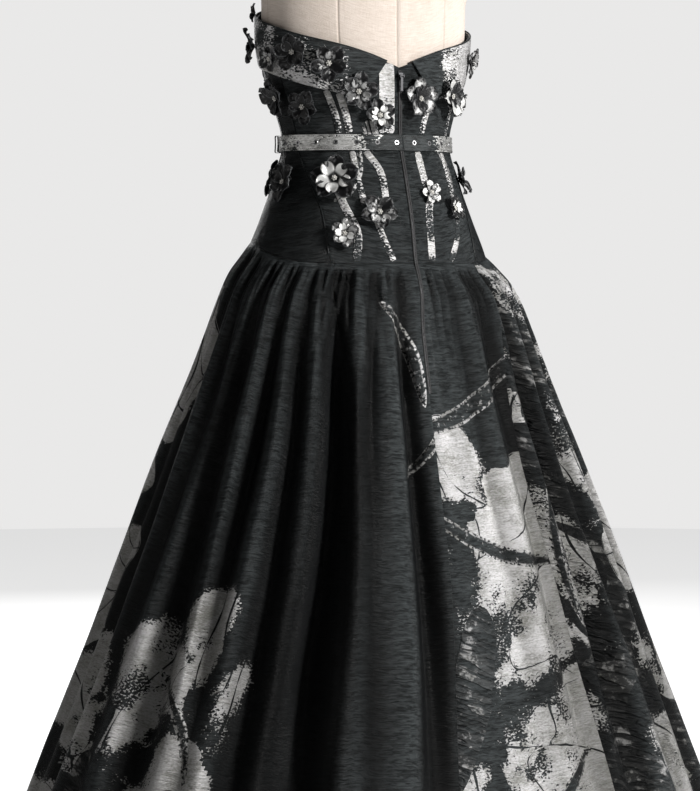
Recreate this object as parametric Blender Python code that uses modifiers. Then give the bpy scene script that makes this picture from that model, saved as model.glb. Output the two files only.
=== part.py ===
"""A strapless ball gown on a limbless dress form.

The gown has a corset bodice with a folded neck band, sewn petal flowers, a narrow eyelet belt,
a concealed back zip and a full skirt gathered into a dropped seam. The form stands on a pole
and a round base. Metres, +Z up. The origin is the middle of the base's underside. The gown's
front faces -Y, its zip and back face +Y, and the wearer's left is +X. An angle round the body
is counted in degrees from the centre back, towards the wearer's left.
"""

import math
from collections import namedtuple

import bmesh
import bpy
from mathutils import Matrix, Vector

MM = 0.001
WAIST_HEIGHT = 1.060
HEM_HEIGHT = 0.008
SEAM_GAP = 0.30 * MM
HIP_SEAM_GAP = 0.65 * MM
BODICE_WALL = 2.0 * MM
SKIRT_WALL = 1.8 * MM

BAND_DEPTH = 70 * MM
BAND_WALL = 2.6 * MM
BAND_TOP_GAP = 0.8 * MM
BAND_STAND_OFF = 1.2 * MM
BAND_END_TOP_ANGLE = 7.5
BAND_END_LOW_ANGLE = 23.0

BELT_WIDTH = 22 * MM
BELT_WALL = 2.2 * MM
BELT_OFFSET = 1.7 * MM
TAIL_OFFSET = BELT_OFFSET + BELT_WALL + SEAM_GAP
TAIL_START_ANGLE = 186.0
TAIL_END_ANGLE = 112.0
KEEPER_ANGLE = 120.0
KEEPER_LENGTH = 9 * MM
BUCKLE_SIZE = Vector((40 * MM, 0, 35 * MM))
BUCKLE_BAR = 4 * MM
BUCKLE_WALL = 2.6 * MM
PRONG_WALL = 2 * MM

ZIP_WIDTH = 6.4 * MM
ZIP_WALL = 0.9 * MM
ZIP_OFFSET = 0.35 * MM
ZIP_SKIRT_SHARE = 0.205
SLIDER_SIZE = Vector((6.8 * MM, 2.2 * MM, 9 * MM))
SLIDER_DROP = 12 * MM
PULL_LENGTH = 21 * MM
PULL_SIZE = Vector((3.6 * MM, 1.2 * MM, PULL_LENGTH))
KNUCKLE_RADIUS = 1.7 * MM
PIN_RADIUS = 0.6 * MM
PIN_CLEARANCE = 0.3 * MM

FORM_CLEARANCE = 0.7 * MM
FORM_TAPER = 0.022
FORM_CUP_SHARE = 0.7
FORM_LOW_RISE = -0.275
POLE_RADIUS = 16 * MM
BASE_RADIUS = 0.190
BASE_THICKNESS = 12 * MM
BOSS_RADIUS = 32 * MM
BOSS_HEIGHT = 52 * MM

Section = namedtuple("Section", "rise half_width back front")
Height = namedtuple("Height", "angle rise")
Flare = namedtuple("Flare", "share half_width back front sway")
Flat = namedtuple("Flat", "share depth")
Fold = namedtuple("Fold", "top hem width_top width_hem depth_top depth_mid depth_hem")
Seam = namedtuple("Seam", "share angle")
Flower = namedtuple("Flower", "angle rise radius lift seat turn")

# The bodice's outer sections, by their rise above the waist.
BODY = [
    Section(-0.190, 0.1900, 0.1410, 0.1330),
    Section(-0.157, 0.1815, 0.1350, 0.1290),
    Section(-0.107, 0.1600, 0.1260, 0.1210),
    Section(-0.050, 0.1385, 0.1105, 0.1080),
    Section(0.000, 0.1262, 0.0958, 0.0970),
    Section(0.050, 0.1375, 0.0945, 0.1060),
    Section(0.107, 0.1555, 0.0925, 0.1190),
    Section(0.150, 0.1620, 0.0920, 0.1250),
    Section(0.200, 0.1650, 0.0930, 0.1220),
]

# The form above the neckline: shoulders and neck.
SHOULDERS = [
    Section(0.200, 0.1650, 0.0930, 0.1220),
    Section(0.240, 0.1745, 0.0960, 0.1120),
    Section(0.290, 0.1780, 0.0970, 0.0960),
    Section(0.325, 0.1680, 0.0910, 0.0840),
    Section(0.350, 0.1450, 0.0820, 0.0740),
    Section(0.372, 0.1050, 0.0710, 0.0640),
    Section(0.392, 0.0720, 0.0600, 0.0560),
    Section(0.415, 0.0580, 0.0540, 0.0520),
    Section(0.455, 0.0545, 0.0515, 0.0495),
]

NECKLINE = [
    Height(0, 0.1050),
    Height(7, 0.1115),
    Height(17, 0.1215),
    Height(31, 0.1325),
    Height(57, 0.1470),
    Height(82, 0.1620),
    Height(110, 0.1760),
    Height(140, 0.1900),
    Height(165, 0.1840),
    Height(180, 0.1740),
]

# How far the skirt stands out of the hip seam, by its share of the way down. It sways to one side.
FLARES = [
    Flare(0.00, 0.000, 0.000, 0.000, 0.000),
    Flare(0.02, 0.021, 0.012, 0.014, -0.003),
    Flare(0.05, 0.046, 0.025, 0.030, -0.006),
    Flare(0.11, 0.072, 0.043, 0.052, -0.007),
    Flare(0.24, 0.123, 0.077, 0.092, -0.008),
    Flare(0.37, 0.175, 0.108, 0.126, -0.010),
    Flare(0.50, 0.228, 0.139, 0.160, -0.011),
    Flare(0.63, 0.279, 0.164, 0.188, -0.011),
    Flare(0.76, 0.329, 0.187, 0.212, -0.010),
    Flare(0.88, 0.373, 0.207, 0.232, -0.009),
    Flare(1.00, 0.415, 0.226, 0.250, -0.008),
]

# How far the ungathered cloth beside the zip hangs in from the plain flare.
BACK_FLAT = [
    Flat(0.00, 0.000),
    Flat(0.05, 0.012),
    Flat(0.11, 0.024),
    Flat(0.30, 0.030),
    Flat(0.60, 0.028),
    Flat(1.00, 0.026),
]
BACK_FLAT_ANGLE = -6.0
BACK_FLAT_WIDTH = 18.0

# The valleys between the gathers. Angles and widths in degrees, depths in millimetres.
FOLDS = [
    Fold(-4.5, -6.0, 2.2, 4.0, 4.0, 1.0, 0.0),
    Fold(-13.0, -14.0, 2.6, 6.0, 4.5, 3.0, 3.0),
    Fold(-26.0, -23.0, 3.6, 5.0, 7.0, 10.0, 12.0),
    Fold(-37.0, -32.5, 2.8, 3.6, 6.0, 12.0, 16.0),
    Fold(-47.0, -43.0, 2.8, 5.0, 5.0, 8.0, 9.0),
    Fold(-58.0, -56.0, 3.0, 5.0, 5.5, 9.0, 15.0),
    Fold(-69.0, -70.0, 3.0, 6.0, 5.0, 7.0, 9.0),
    Fold(-81.0, -86.0, 3.2, 6.0, 5.5, 10.0, 17.0),
    Fold(-94.0, -100.0, 3.0, 6.0, 5.0, 8.0, 10.0),
    Fold(-106.0, -115.0, 3.0, 6.5, 5.5, 10.0, 18.0),
    Fold(-118.0, -128.0, 3.2, 5.0, 5.0, 8.0, 11.0),
    Fold(-130.0, -141.0, 3.0, 5.5, 5.0, 9.0, 14.0),
    Fold(-143.0, -152.0, 3.0, 4.5, 5.5, 8.0, 9.0),
    Fold(-156.0, -164.0, 3.2, 5.0, 5.0, 9.0, 15.0),
    Fold(-169.0, -175.0, 3.0, 4.5, 4.5, 6.0, 7.0),
    Fold(10.0, 8.0, 2.2, 3.4, 7.0, 12.0, 16.0),
    Fold(21.0, 18.0, 3.0, 4.0, 6.0, 7.0, 4.0),
    Fold(33.5, 29.5, 3.8, 4.8, 7.5, 17.0, 26.0),
    Fold(46.0, 43.0, 2.8, 4.0, 6.5, 11.0, 16.0),
    Fold(55.5, 52.5, 2.4, 3.6, 6.0, 9.0, 8.0),
    Fold(67.5, 62.5, 3.2, 5.0, 6.0, 13.0, 21.0),
    Fold(79.0, 77.0, 2.8, 5.0, 5.0, 8.0, 10.0),
    Fold(91.0, 93.0, 3.2, 6.0, 5.5, 10.0, 18.0),
    Fold(103.0, 107.0, 3.0, 5.5, 5.0, 8.0, 10.0),
    Fold(115.0, 121.0, 3.2, 6.0, 5.5, 10.0, 17.0),
    Fold(127.0, 134.0, 3.0, 5.0, 5.0, 8.0, 10.0),
    Fold(139.0, 146.0, 3.0, 5.5, 5.5, 9.0, 15.0),
    Fold(151.0, 157.0, 3.0, 4.5, 5.0, 8.0, 9.0),
    Fold(163.0, 168.0, 3.2, 5.0, 5.0, 9.0, 14.0),
    Fold(176.0, 181.0, 3.0, 4.5, 4.5, 7.0, 8.0),
]
FOLD_MID_SHARE = 0.30
GATHER_SHARE = 0.035

# The bodice's side-back seam, by height, and the skirt's, by share. The front ones mirror them.
BODICE_SEAM = [
    Height(78, 0.200),
    Height(78, 0.000),
    Height(64, -0.046),
    Height(50, -0.093),
    Height(38, -0.180),
]
SKIRT_SEAM = [Seam(0.0, 38.0), Seam(0.05, 35.0), Seam(0.20, 28.0), Seam(0.50, 26.0), Seam(1.0, 27.0)]
BACK_SEAM = [
    Seam(0.0, 0.0),
    Seam(0.05, 1.2),
    Seam(0.11, 2.0),
    Seam(0.30, 2.6),
    Seam(0.50, 3.0),
    Seam(0.75, 4.2),
    Seam(1.0, 5.0),
]

HIP_SEAM_LOW = -0.169
HIP_SEAM_LIFT = 0.031
HIP_SEAM_LIFT_ANGLE = 108.0
HIP_SEAM_LIFT_WIDTH = 36.0

CUP_RISE = 0.135
CUP_ANGLE = 30.0
CUP_FULLNESS = 13 * MM
CUP_WIDTH = 20.0
CUP_HEIGHT = 0.046

BODICE_LOW_ROWS = (0.0, 0.08, 0.3, 0.62, 1.0)
BODICE_HIGH_ROWS = (0.0, 0.17, 0.34, 0.55, 0.75, 0.92, 1.0)
SKIRT_ROWS = (0.0, 0.02, 0.05, 0.11, ZIP_SKIRT_SHARE, 0.36, 0.56, 0.78, 1.0)

# Each flower's place on the bodice. Its angle and turn are in degrees, the rest in millimetres.
FLOWERS = [
    Flower(117.0, 139, 24, 10, 4.9, 10),
    Flower(123.0, 186, 12, 6, 3.9, 40),
    Flower(83.6, 117, 16, 8, 4.9, 0),
    Flower(62.6, 125, 23, 11, 4.9, 25),
    Flower(40.6, 109, 24, 11, 4.9, 50),
    Flower(91.0, 64, 27, 11, 0.7, 15),
    Flower(65.0, 50, 22, 9, 0.7, 60),
    Flower(26.2, 70, 24, 11, 4.9, 5),
    Flower(14.0, 38, 19, 8, 0.7, 35),
    Flower(-13.0, 62, 25, 10, 0.7, 20),
    Flower(-39.0, 68, 26, 11, 4.9, 48),
    Flower(-66.0, 120, 20, 9, 4.9, 12),
    Flower(-66.0, 62, 18, 8, 0.7, 33),
    Flower(44.0, -52, 31, 13, 0.7, 18),
    Flower(83.0, -56, 25, 10, 0.7, 44),
    Flower(35.0, -128, 19, 9, 0.1, 8),
    Flower(18.0, -98, 24, 10, 0.7, 56),
    Flower(-15.5, -70, 15, 7, 0.7, 30),
    Flower(-32.0, -92, 17, 8, 0.3, 0),
    Flower(-62.0, -50, 23, 10, 0.7, 22),
    Flower(149.0, 96, 26, 11, 0.1, 52),
    Flower(172.0, 70, 22, 9, 0.7, 14),
    Flower(-152.0, 100, 25, 10, 0.7, 38),
    Flower(-122.0, 122, 24, 10, 4.9, 3),
    Flower(-95.0, 78, 23, 10, 0.7, 47),
    Flower(-128.0, 50, 21, 9, 0.7, 28),
    Flower(126.0, -52, 24, 10, 0.7, 11),
    Flower(160.0, -70, 26, 11, 0.7, 58),
    Flower(-158.0, -48, 20, 9, 0.7, 24),
    Flower(-120.0, -62, 25, 10, 0.7, 6),
]

PETALS = 5
PETAL_POINTS = 3
PETAL_NOTCH = 0.28
PETAL_WALL = 1.3 * MM


def smooth_row(table, value):
    """The table's other columns at a value of its first column, on a smooth curve."""
    keys = [row[0] for row in table]
    if value <= keys[0]:
        return table[0][1:]
    if value >= keys[-1]:
        return table[-1][1:]
    i = max(k for k in range(len(keys) - 1) if keys[k] <= value)
    span = keys[i + 1] - keys[i]
    t = (value - keys[i]) / span
    before, after = max(i - 1, 0), min(i + 2, len(keys) - 1)
    result = []
    for column in range(1, len(table[0])):
        low, high = table[i][column], table[i + 1][column]
        slope_low = (high - table[before][column]) / (keys[i + 1] - keys[before]) * span
        slope_high = (table[after][column] - low) / (keys[after] - keys[i]) * span
        result.append(
            (2 * t**3 - 3 * t**2 + 1) * low
            + (t**3 - 2 * t**2 + t) * slope_low
            + (3 * t**2 - 2 * t**3) * high
            + (t**3 - t**2) * slope_high
        )
    return result


def ease(value, low, high):
    """0 below low, 1 above high, and a smooth step between."""
    t = min(1.0, max(0.0, (value - low) / (high - low)))
    return t * t * (3 - 2 * t)


def ring(angle, half_width, back, front):
    """The plan point and the outward direction at an angle of one level section."""
    turn = math.radians(angle)
    depth = back if math.cos(turn) >= 0 else front
    point = Vector((half_width * math.sin(turn), depth * math.cos(turn), 0))
    outward = Vector((math.sin(turn) / half_width, math.cos(turn) / depth, 0))
    return point, outward.normalized()


def turned(angle):
    """The same angle as one from -180 to 180 degrees."""
    return (angle + 180.0) % 360.0 - 180.0


def cup_swell(angle, rise):
    """How far a cup stands out of the plain section."""
    off_angle = (180.0 - CUP_ANGLE - abs(turned(angle))) / CUP_WIDTH
    off_rise = (rise - CUP_RISE) / CUP_HEIGHT
    return CUP_FULLNESS * math.exp(-(off_angle**2) - off_rise**2)


def body_point(angle, rise, outward=0.0):
    """A point on the bodice's outer face, moved outward."""
    point, direction = ring(angle, *smooth_row(BODY, rise))
    point += direction * (outward + cup_swell(angle, rise))
    point.z = WAIST_HEIGHT + rise
    return point


def neck_rise(angle):
    """The height of the neckline above the waist."""
    return smooth_row(NECKLINE, abs(turned(angle)))[0]


def hip_rise(angle):
    """The height of the hip seam above the waist, below zero."""
    off = (abs(turned(angle)) - HIP_SEAM_LIFT_ANGLE) / HIP_SEAM_LIFT_WIDTH
    return HIP_SEAM_LOW + HIP_SEAM_LIFT * math.exp(-(off**2))


def fold_depth(angle, share):
    """How far the gathers' valleys draw the skirt in."""
    depth = 0.0
    for fold in FOLDS:
        middle = fold.top + (fold.hem - fold.top) * share
        width = fold.width_top + (fold.width_hem - fold.width_top) * math.sqrt(share)
        profile = [
            (0.0, fold.depth_top),
            (FOLD_MID_SHARE, fold.depth_mid),
            (1.0, fold.depth_hem),
        ]
        off = turned(angle - middle) / width
        if abs(off) < 4:
            depth += smooth_row(profile, share)[0] * math.exp(-(off**2))
    return depth * MM * (0.12 + 0.88 * ease(share, 0.0, GATHER_SHARE))


def skirt_point(angle, share):
    """A point on the skirt's outer face. The share runs from the hip seam, 0, to the hem, 1."""
    rise = hip_rise(angle)
    hip = smooth_row(BODY, rise)
    *flare, sway = smooth_row(FLARES, share)
    point, direction = ring(angle, *(h + f for h, f in zip(hip, flare)))
    off = turned(angle - BACK_FLAT_ANGLE) / BACK_FLAT_WIDTH
    flat = smooth_row(BACK_FLAT, share)[0] * math.exp(-(off**2))
    point -= direction * (fold_depth(angle, share) + flat)
    point.x += sway
    top = WAIST_HEIGHT + rise - HIP_SEAM_GAP
    point.z = top + (HEM_HEIGHT - top) * share
    return point


def outward_normal(surface, angle, share, step):
    """The direction out of a surface of angle and share."""
    around = surface(angle + 0.4, share) - surface(angle - 0.4, share)
    low, high = min(1.0, share + step), max(0.0, share - step)
    down = surface(angle, low) - surface(angle, high)
    return around.cross(down).normalized()


def moved_out(surface, angle, share, distance):
    """The surface's point there, moved along the outward direction."""
    return surface(angle, share) + outward_normal(surface, angle, share, 0.01) * distance


def gap_angle(surface, angle, share):
    """Half a seam's gap, as an angle."""
    reach = (surface(angle + 0.5, share) - surface(angle - 0.5, share)).length
    return SEAM_GAP / 2 / reach


def add_object(name, shape, material):
    """Links a mesh or a curve to the gown's collection with its material."""
    obj = bpy.data.objects.new(name, shape)
    obj.data.materials.append(material)
    bpy.data.collections["ball_gown"].objects.link(obj)
    return obj


def wall(name, outer, inner, material, closed=False):
    """A closed wall between two grids of points, each a list of rows."""
    bm = bmesh.new()
    faces = [[[bm.verts.new(p) for p in row] for row in grid] for grid in (outer, inner)]
    rows, columns = len(outer), len(outer[0])
    spans = [(c, (c + 1) % columns) for c in range(columns if closed else columns - 1)]

    def quad(a, b, c, d):
        bm.faces.new((a, b, c))
        bm.faces.new((a, c, d))

    for grid in faces:
        for r in range(rows - 1):
            for c, n in spans:
                quad(grid[r][c], grid[r][n], grid[r + 1][n], grid[r + 1][c])
    for r in (0, rows - 1):
        for c, n in spans:
            quad(faces[0][r][c], faces[0][r][n], faces[1][r][n], faces[1][r][c])
    for c in () if closed else (0, columns - 1):
        for r in range(rows - 1):
            quad(faces[0][r][c], faces[0][r + 1][c], faces[1][r + 1][c], faces[1][r][c])
    bmesh.ops.recalc_face_normals(bm, faces=bm.faces)
    mesh = bpy.data.meshes.new(name)
    bm.to_mesh(mesh)
    bm.free()
    mesh.shade_smooth()
    mesh.set_sharp_from_angle(angle=math.radians(50))
    return add_object(name, mesh, material)


def spread(start, end, count):
    """Evenly spaced values, both ends included."""
    return [start + (end - start) * i / (count - 1) for i in range(count)]


def bodice_rows(angle):
    """The rises of the bodice's rows at an angle, from the neckline down to the hip seam."""
    high = [neck_rise(angle) * (1 - share) for share in BODICE_HIGH_ROWS[:-1]]
    low = [hip_rise(angle) * share for share in BODICE_LOW_ROWS]
    return high + low


def back_gore_seam(row):
    """The angle of the seam between a back panel and a side gore, at one row of the bodice."""
    table = sorted((height.rise, height.angle) for height in BODICE_SEAM)
    angle = 60.0
    for _ in range(20):
        angle = smooth_row(table, bodice_rows(angle)[row])[0]
    return angle


def front_gore_seam(row):
    """The angle of the seam between a side gore and the front, which mirrors the back one."""
    table = sorted((height.rise, height.angle) for height in BODICE_SEAM)
    angle = 120.0
    for _ in range(20):
        angle = 180.0 - smooth_row(table, bodice_rows(angle)[row])[0]
    return angle


def bodice_panel(name, edge_from, edge_to, columns, material):
    """One bodice panel between two seams, each a function of the row."""
    outer, inner = [], []
    for row in range(len(BODICE_HIGH_ROWS) + len(BODICE_LOW_ROWS) - 1):
        start, end = edge_from(row), edge_to(row)
        gap = SEAM_GAP / 2 / (body_point(90.0, 0.0).x * math.radians(1.0))
        angles = spread(start + gap, end - gap, columns)
        points = [(angle, bodice_rows(angle)[row]) for angle in angles]
        outer.append([body_point(angle, rise) for angle, rise in points])
        inner.append([body_point(angle, rise, -BODICE_WALL) for angle, rise in points])
    return wall(name, outer, inner, material)


def make_bodice(material):
    """Two back panels that meet at the zip, two side gores and one front."""
    back, front = back_gore_seam, front_gore_seam
    bodice_panel("bodice_back_left", lambda r: 0.0, back, 11, material)
    bodice_panel("bodice_back_right", lambda r: -back(r), lambda r: 0.0, 11, material)
    bodice_panel("bodice_side_left", back, front, 14, material)
    bodice_panel("bodice_side_right", lambda r: -front(r), lambda r: -back(r), 14, material)
    bodice_panel("bodice_front", front, lambda r: 360.0 - front(r), 19, material)


def skirt_seam(share):
    """The skirt's side-back seam's angle."""
    return smooth_row(SKIRT_SEAM, share)[0]


def back_seam(share):
    """The skirt's centre back seam's angle, which drifts towards the wearer's left."""
    return smooth_row(BACK_SEAM, share)[0]


def skirt_panel(name, edge_from, edge_to, columns, material, strip=0):
    """One skirt gore between two seams. strip is 1 or -1 where the zip lies on its edge."""
    outer, inner = [], []
    for share in SKIRT_ROWS:
        start, end = edge_from(share), edge_to(share)
        start += gap_angle(skirt_point, start, share)
        end -= gap_angle(skirt_point, end, share)
        angles = spread(start, end, columns)
        if strip > 0:
            angles.insert(1, start + zip_half_angle(share))
        if strip < 0:
            angles.insert(-1, end - zip_half_angle(share))
        outer.append([skirt_point(a, share) for a in angles])
        inner.append([moved_out(skirt_point, a, share, -SKIRT_WALL) for a in angles])
    return wall(name, outer, inner, material)


def zip_half_angle(share):
    """Half the zip's width on the skirt, as an angle."""
    reach = (skirt_point(0.5, share) - skirt_point(-0.5, share)).length
    return ZIP_WIDTH / 2 / reach


def make_skirt(material):
    """Two back gores that meet at the zip, two side gores and one front gore."""
    skirt_panel("skirt_back_left", back_seam, skirt_seam, 15, material, strip=1)
    skirt_panel("skirt_back_right", lambda s: -skirt_seam(s), back_seam, 15, material, strip=-1)
    skirt_panel("skirt_side_left", skirt_seam, lambda s: 180.0 - skirt_seam(s), 46, material)
    skirt_panel(
        "skirt_side_right", lambda s: skirt_seam(s) - 180.0, lambda s: -skirt_seam(s), 46, material
    )
    skirt_panel(
        "skirt_front", lambda s: 180.0 - skirt_seam(s), lambda s: 180.0 + skirt_seam(s), 28, material
    )


def make_neck_band(material):
    """The folded band round the neckline, open at the back, its ends cut on a slant."""
    outer, inner = [], []
    for share in (0.0, 0.22, 0.45, 0.72, 1.0):
        end = BAND_END_TOP_ANGLE + (BAND_END_LOW_ANGLE - BAND_END_TOP_ANGLE) * share
        stand_off = BAND_TOP_GAP + BAND_STAND_OFF * math.sin(math.radians(90) * share)
        angles = spread(end, 360.0 - end, 52)
        rises = [neck_rise(a) + 1.5 * MM - BAND_DEPTH * share for a in angles]
        inner.append([body_point(a, z, stand_off) for a, z in zip(angles, rises)])
        outer.append([body_point(a, z, stand_off + BAND_WALL) for a, z in zip(angles, rises)])
    return wall("neck_band", outer, inner, material)


def belt_rows(angles, offset, thickness, half_width):
    """Outer and inner grids of a strap round the waist."""
    rises = (half_width, -half_width)
    outer = [[body_point(a, z, offset + thickness) for a in angles] for z in rises]
    inner = [[body_point(a, z, offset) for a in angles] for z in rises]
    return outer, inner


def make_belt(belt_material, keeper_material):
    """The belt, its tail lapped over it at the front, and the keeper that holds the tail."""
    around = [360.0 * i / 72 for i in range(72)]
    outer, inner = belt_rows(around, BELT_OFFSET, BELT_WALL, BELT_WIDTH / 2)
    wall("belt", outer, inner, belt_material, closed=True)
    along = spread(TAIL_END_ANGLE, TAIL_START_ANGLE, 17)
    outer, inner = belt_rows(along, TAIL_OFFSET, BELT_WALL, BELT_WIDTH / 2)
    wall("belt_tail", outer, inner, belt_material)
    make_keeper(keeper_material)


def flat_ring(name, outer, inner, thickness, place, material):
    """A flat ring between two outlines in the XZ plane, with its thickness along Y."""
    curve = bpy.data.curves.new(name, "CURVE")
    curve.dimensions = "2D"
    curve.fill_mode = "BOTH"
    curve.extrude = thickness / 2
    for outline in (outer, inner):
        spline = curve.splines.new("POLY")
        spline.use_cyclic_u = True
        spline.points.add(len(outline) - 1)
        for spot, (x, z) in zip(spline.points, outline):
            spot.co = (x, z, 0.0, 1.0)
    obj = add_object(name, curve, material)
    obj.matrix_world = place @ Matrix.Rotation(math.radians(90), 4, "X")
    return obj


def rectangle(half_x, half_z, corner=0.0):
    """A rectangle's outline, with cut corners where corner is above zero."""
    if not corner:
        return [(half_x, half_z), (-half_x, half_z), (-half_x, -half_z), (half_x, -half_z)]
    points = []
    for sx, sz in ((1, 1), (-1, 1), (-1, -1), (1, -1)):
        pair = [(sx * half_x, sz * (half_z - corner)), (sx * (half_x - corner), sz * half_z)]
        points += pair if sx * sz > 0 else pair[::-1]
    return points


def facing(point, direction):
    """A placement whose Y axis is a level outward direction."""
    side = Vector((0, 0, 1)).cross(direction)
    turn = Matrix((-side, direction, Vector((0, 0, 1)))).transposed().to_4x4()
    return Matrix.Translation(point) @ turn


def make_keeper(material):
    """A loop of cloth round the belt and its tail."""
    back, front, cloth = 0.5 * MM, 11 * MM, 1.2 * MM
    clear = BELT_OFFSET - SEAM_GAP
    tall = BELT_WIDTH / 2 + SEAM_GAP
    point = body_point(KEEPER_ANGLE, 0.0)
    outward = ring(KEEPER_ANGLE, *smooth_row(BODY, 0.0))[1]

    def outline(half):
        line = []
        for offset, z in half + [(x, -z) for x, z in reversed(half)]:
            lean = (body_point(KEEPER_ANGLE, z) - point).dot(outward)
            line.append((offset + lean, z))
        return line

    outer = outline([(back, tall + cloth), (front - 2 * MM, tall + cloth), (front, tall - 4 * MM)])
    inner = outline([(clear, tall), (front - 3 * MM, tall), (front - 1.5 * MM, tall - 4.6 * MM)])
    along = Vector((0, 0, 1)).cross(outward)
    turn = Matrix((outward, along, Vector((0, 0, 1)))).transposed().to_4x4()
    place = Matrix.Translation(point) @ turn
    flat_ring("belt_keeper", outer, inner, KEEPER_LENGTH, place, material)


def make_buckle(material):
    """A plain frame over the tail at the centre front, with a prong across it."""
    depth = TAIL_OFFSET + BELT_WALL + SEAM_GAP
    point = body_point(180.0, 0.0, depth + BUCKLE_WALL / 2)
    place = facing(point, Vector((0, -1, 0)))
    half_x, half_z = BUCKLE_SIZE.x / 2, BUCKLE_SIZE.z / 2
    outer = rectangle(half_x, half_z, 5 * MM)
    inner = rectangle(half_x - BUCKLE_BAR, half_z - BUCKLE_BAR, 2 * MM)
    flat_ring("belt_buckle", outer, inner, BUCKLE_WALL, place, material)
    bm = bmesh.new()
    bmesh.ops.create_cube(bm, size=1.0)
    bmesh.ops.scale(bm, vec=(BUCKLE_SIZE.x - 2 * MM, PRONG_WALL, 3 * MM), verts=bm.verts)
    mesh = bpy.data.meshes.new("belt_prong")
    bm.to_mesh(mesh)
    bm.free()
    prong = add_object("belt_prong", mesh, material)
    prong.location = point - Vector((0, (BUCKLE_WALL + PRONG_WALL) / 2 + SEAM_GAP, 0))


def make_zip_tape(material):
    """The concealed zip's closed strip, from the neckline to its end on the skirt."""
    outer, inner = [], []
    half = ZIP_WIDTH / 2
    for rise in bodice_rows(0.0):
        width, back, _ = smooth_row(BODY, rise)
        turn = math.degrees(half / width)
        lift = -2 * MM if rise == neck_rise(0.0) else 0.0
        for grid, offset in ((outer, ZIP_OFFSET + ZIP_WALL), (inner, ZIP_OFFSET)):
            grid.append([body_point(a, rise + lift, offset) for a in (-turn, 0.0, turn)])
    for share in [s for s in SKIRT_ROWS if 0 < s <= ZIP_SKIRT_SHARE]:
        turn, middle = zip_half_angle(share), back_seam(share)
        for grid, offset in ((outer, ZIP_OFFSET + ZIP_WALL), (inner, ZIP_OFFSET)):
            angles = (middle - turn, middle, middle + turn)
            grid.append([moved_out(skirt_point, a, share, offset) for a in angles])
    return wall("zip_tape", outer, inner, material)


def box_mesh(name, size, centre):
    """A box as an object in the cutters' collection."""
    bm = bmesh.new()
    bmesh.ops.create_cube(bm, size=1.0)
    bmesh.ops.scale(bm, vec=size, verts=bm.verts)
    bmesh.ops.translate(bm, vec=centre, verts=bm.verts)
    return tool_object(name, bm)


def rod_mesh(name, radius, length, centre, sides=16):
    """A rod along X as an object in the cutters' collection."""
    bm = bmesh.new()
    bmesh.ops.create_cone(
        bm, cap_ends=True, segments=sides, radius1=radius, radius2=radius, depth=length
    )
    bmesh.ops.rotate(bm, matrix=Matrix.Rotation(math.radians(90), 3, "Y"), verts=bm.verts)
    bmesh.ops.translate(bm, vec=centre, verts=bm.verts)
    return tool_object(name, bm)


def tool_object(name, bm):
    """A helper that a Boolean reads and the model leaves out."""
    mesh = bpy.data.meshes.new(name)
    bm.to_mesh(mesh)
    bm.free()
    obj = bpy.data.objects.new(name, mesh)
    obj.hide_render = True
    obj.display_type = "WIRE"
    bpy.data.collections["cutters"].objects.link(obj)
    return obj


def boolean(obj, tool, operation):
    """Adds one Boolean to an object."""
    modifier = obj.modifiers.new(tool.name, "BOOLEAN")
    modifier.object = tool
    modifier.operation = operation


def make_slider(material):
    """The zip's slider with its pin, and the pull tab that hangs and swings on it."""
    rise = neck_rise(0.0) - SLIDER_DROP
    face = body_point(0.0, rise, ZIP_OFFSET + ZIP_WALL).y
    centre = Vector((0, face + 2 * SEAM_GAP + SLIDER_SIZE.y / 2, WAIST_HEIGHT + rise))
    body = box_mesh("slider_body", SLIDER_SIZE, centre)
    slider = add_object("zip_slider", body.data.copy(), material)
    pin = centre + Vector((0, SLIDER_SIZE.y / 2 + KNUCKLE_RADIUS + PIN_CLEARANCE, 0))
    ear = Vector((1.2 * MM, 2 * KNUCKLE_RADIUS + 2.0 * MM, 3.6 * MM))
    for side in (-1, 1):
        place = pin + Vector((side * (SLIDER_SIZE.x - ear.x) / 2, -0.6 * MM, 0))
        boolean(slider, box_mesh(f"slider_ear_{side}", ear, place), "UNION")
    span = SLIDER_SIZE.x - 0.4 * MM
    boolean(slider, rod_mesh("slider_pin", PIN_RADIUS, span, pin, 12), "UNION")
    knuckle = rod_mesh("pull_knuckle", KNUCKLE_RADIUS, PULL_SIZE.x, Vector((0, 0, 0)))
    pull = add_object("zip_pull", knuckle.data.copy(), material)
    blade = Vector((0, 0, -PULL_LENGTH / 2))
    boolean(pull, box_mesh("pull_blade", PULL_SIZE, blade), "UNION")
    bore = rod_mesh("pull_bore", PIN_RADIUS + PIN_CLEARANCE, 2 * PULL_SIZE.x, Vector((0, 0, 0)))
    boolean(pull, bore, "DIFFERENCE")
    pull.location = pin
    for helper in bpy.data.collections["cutters"].objects:
        if helper.name.startswith("pull_"):
            helper.location = pin


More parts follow.
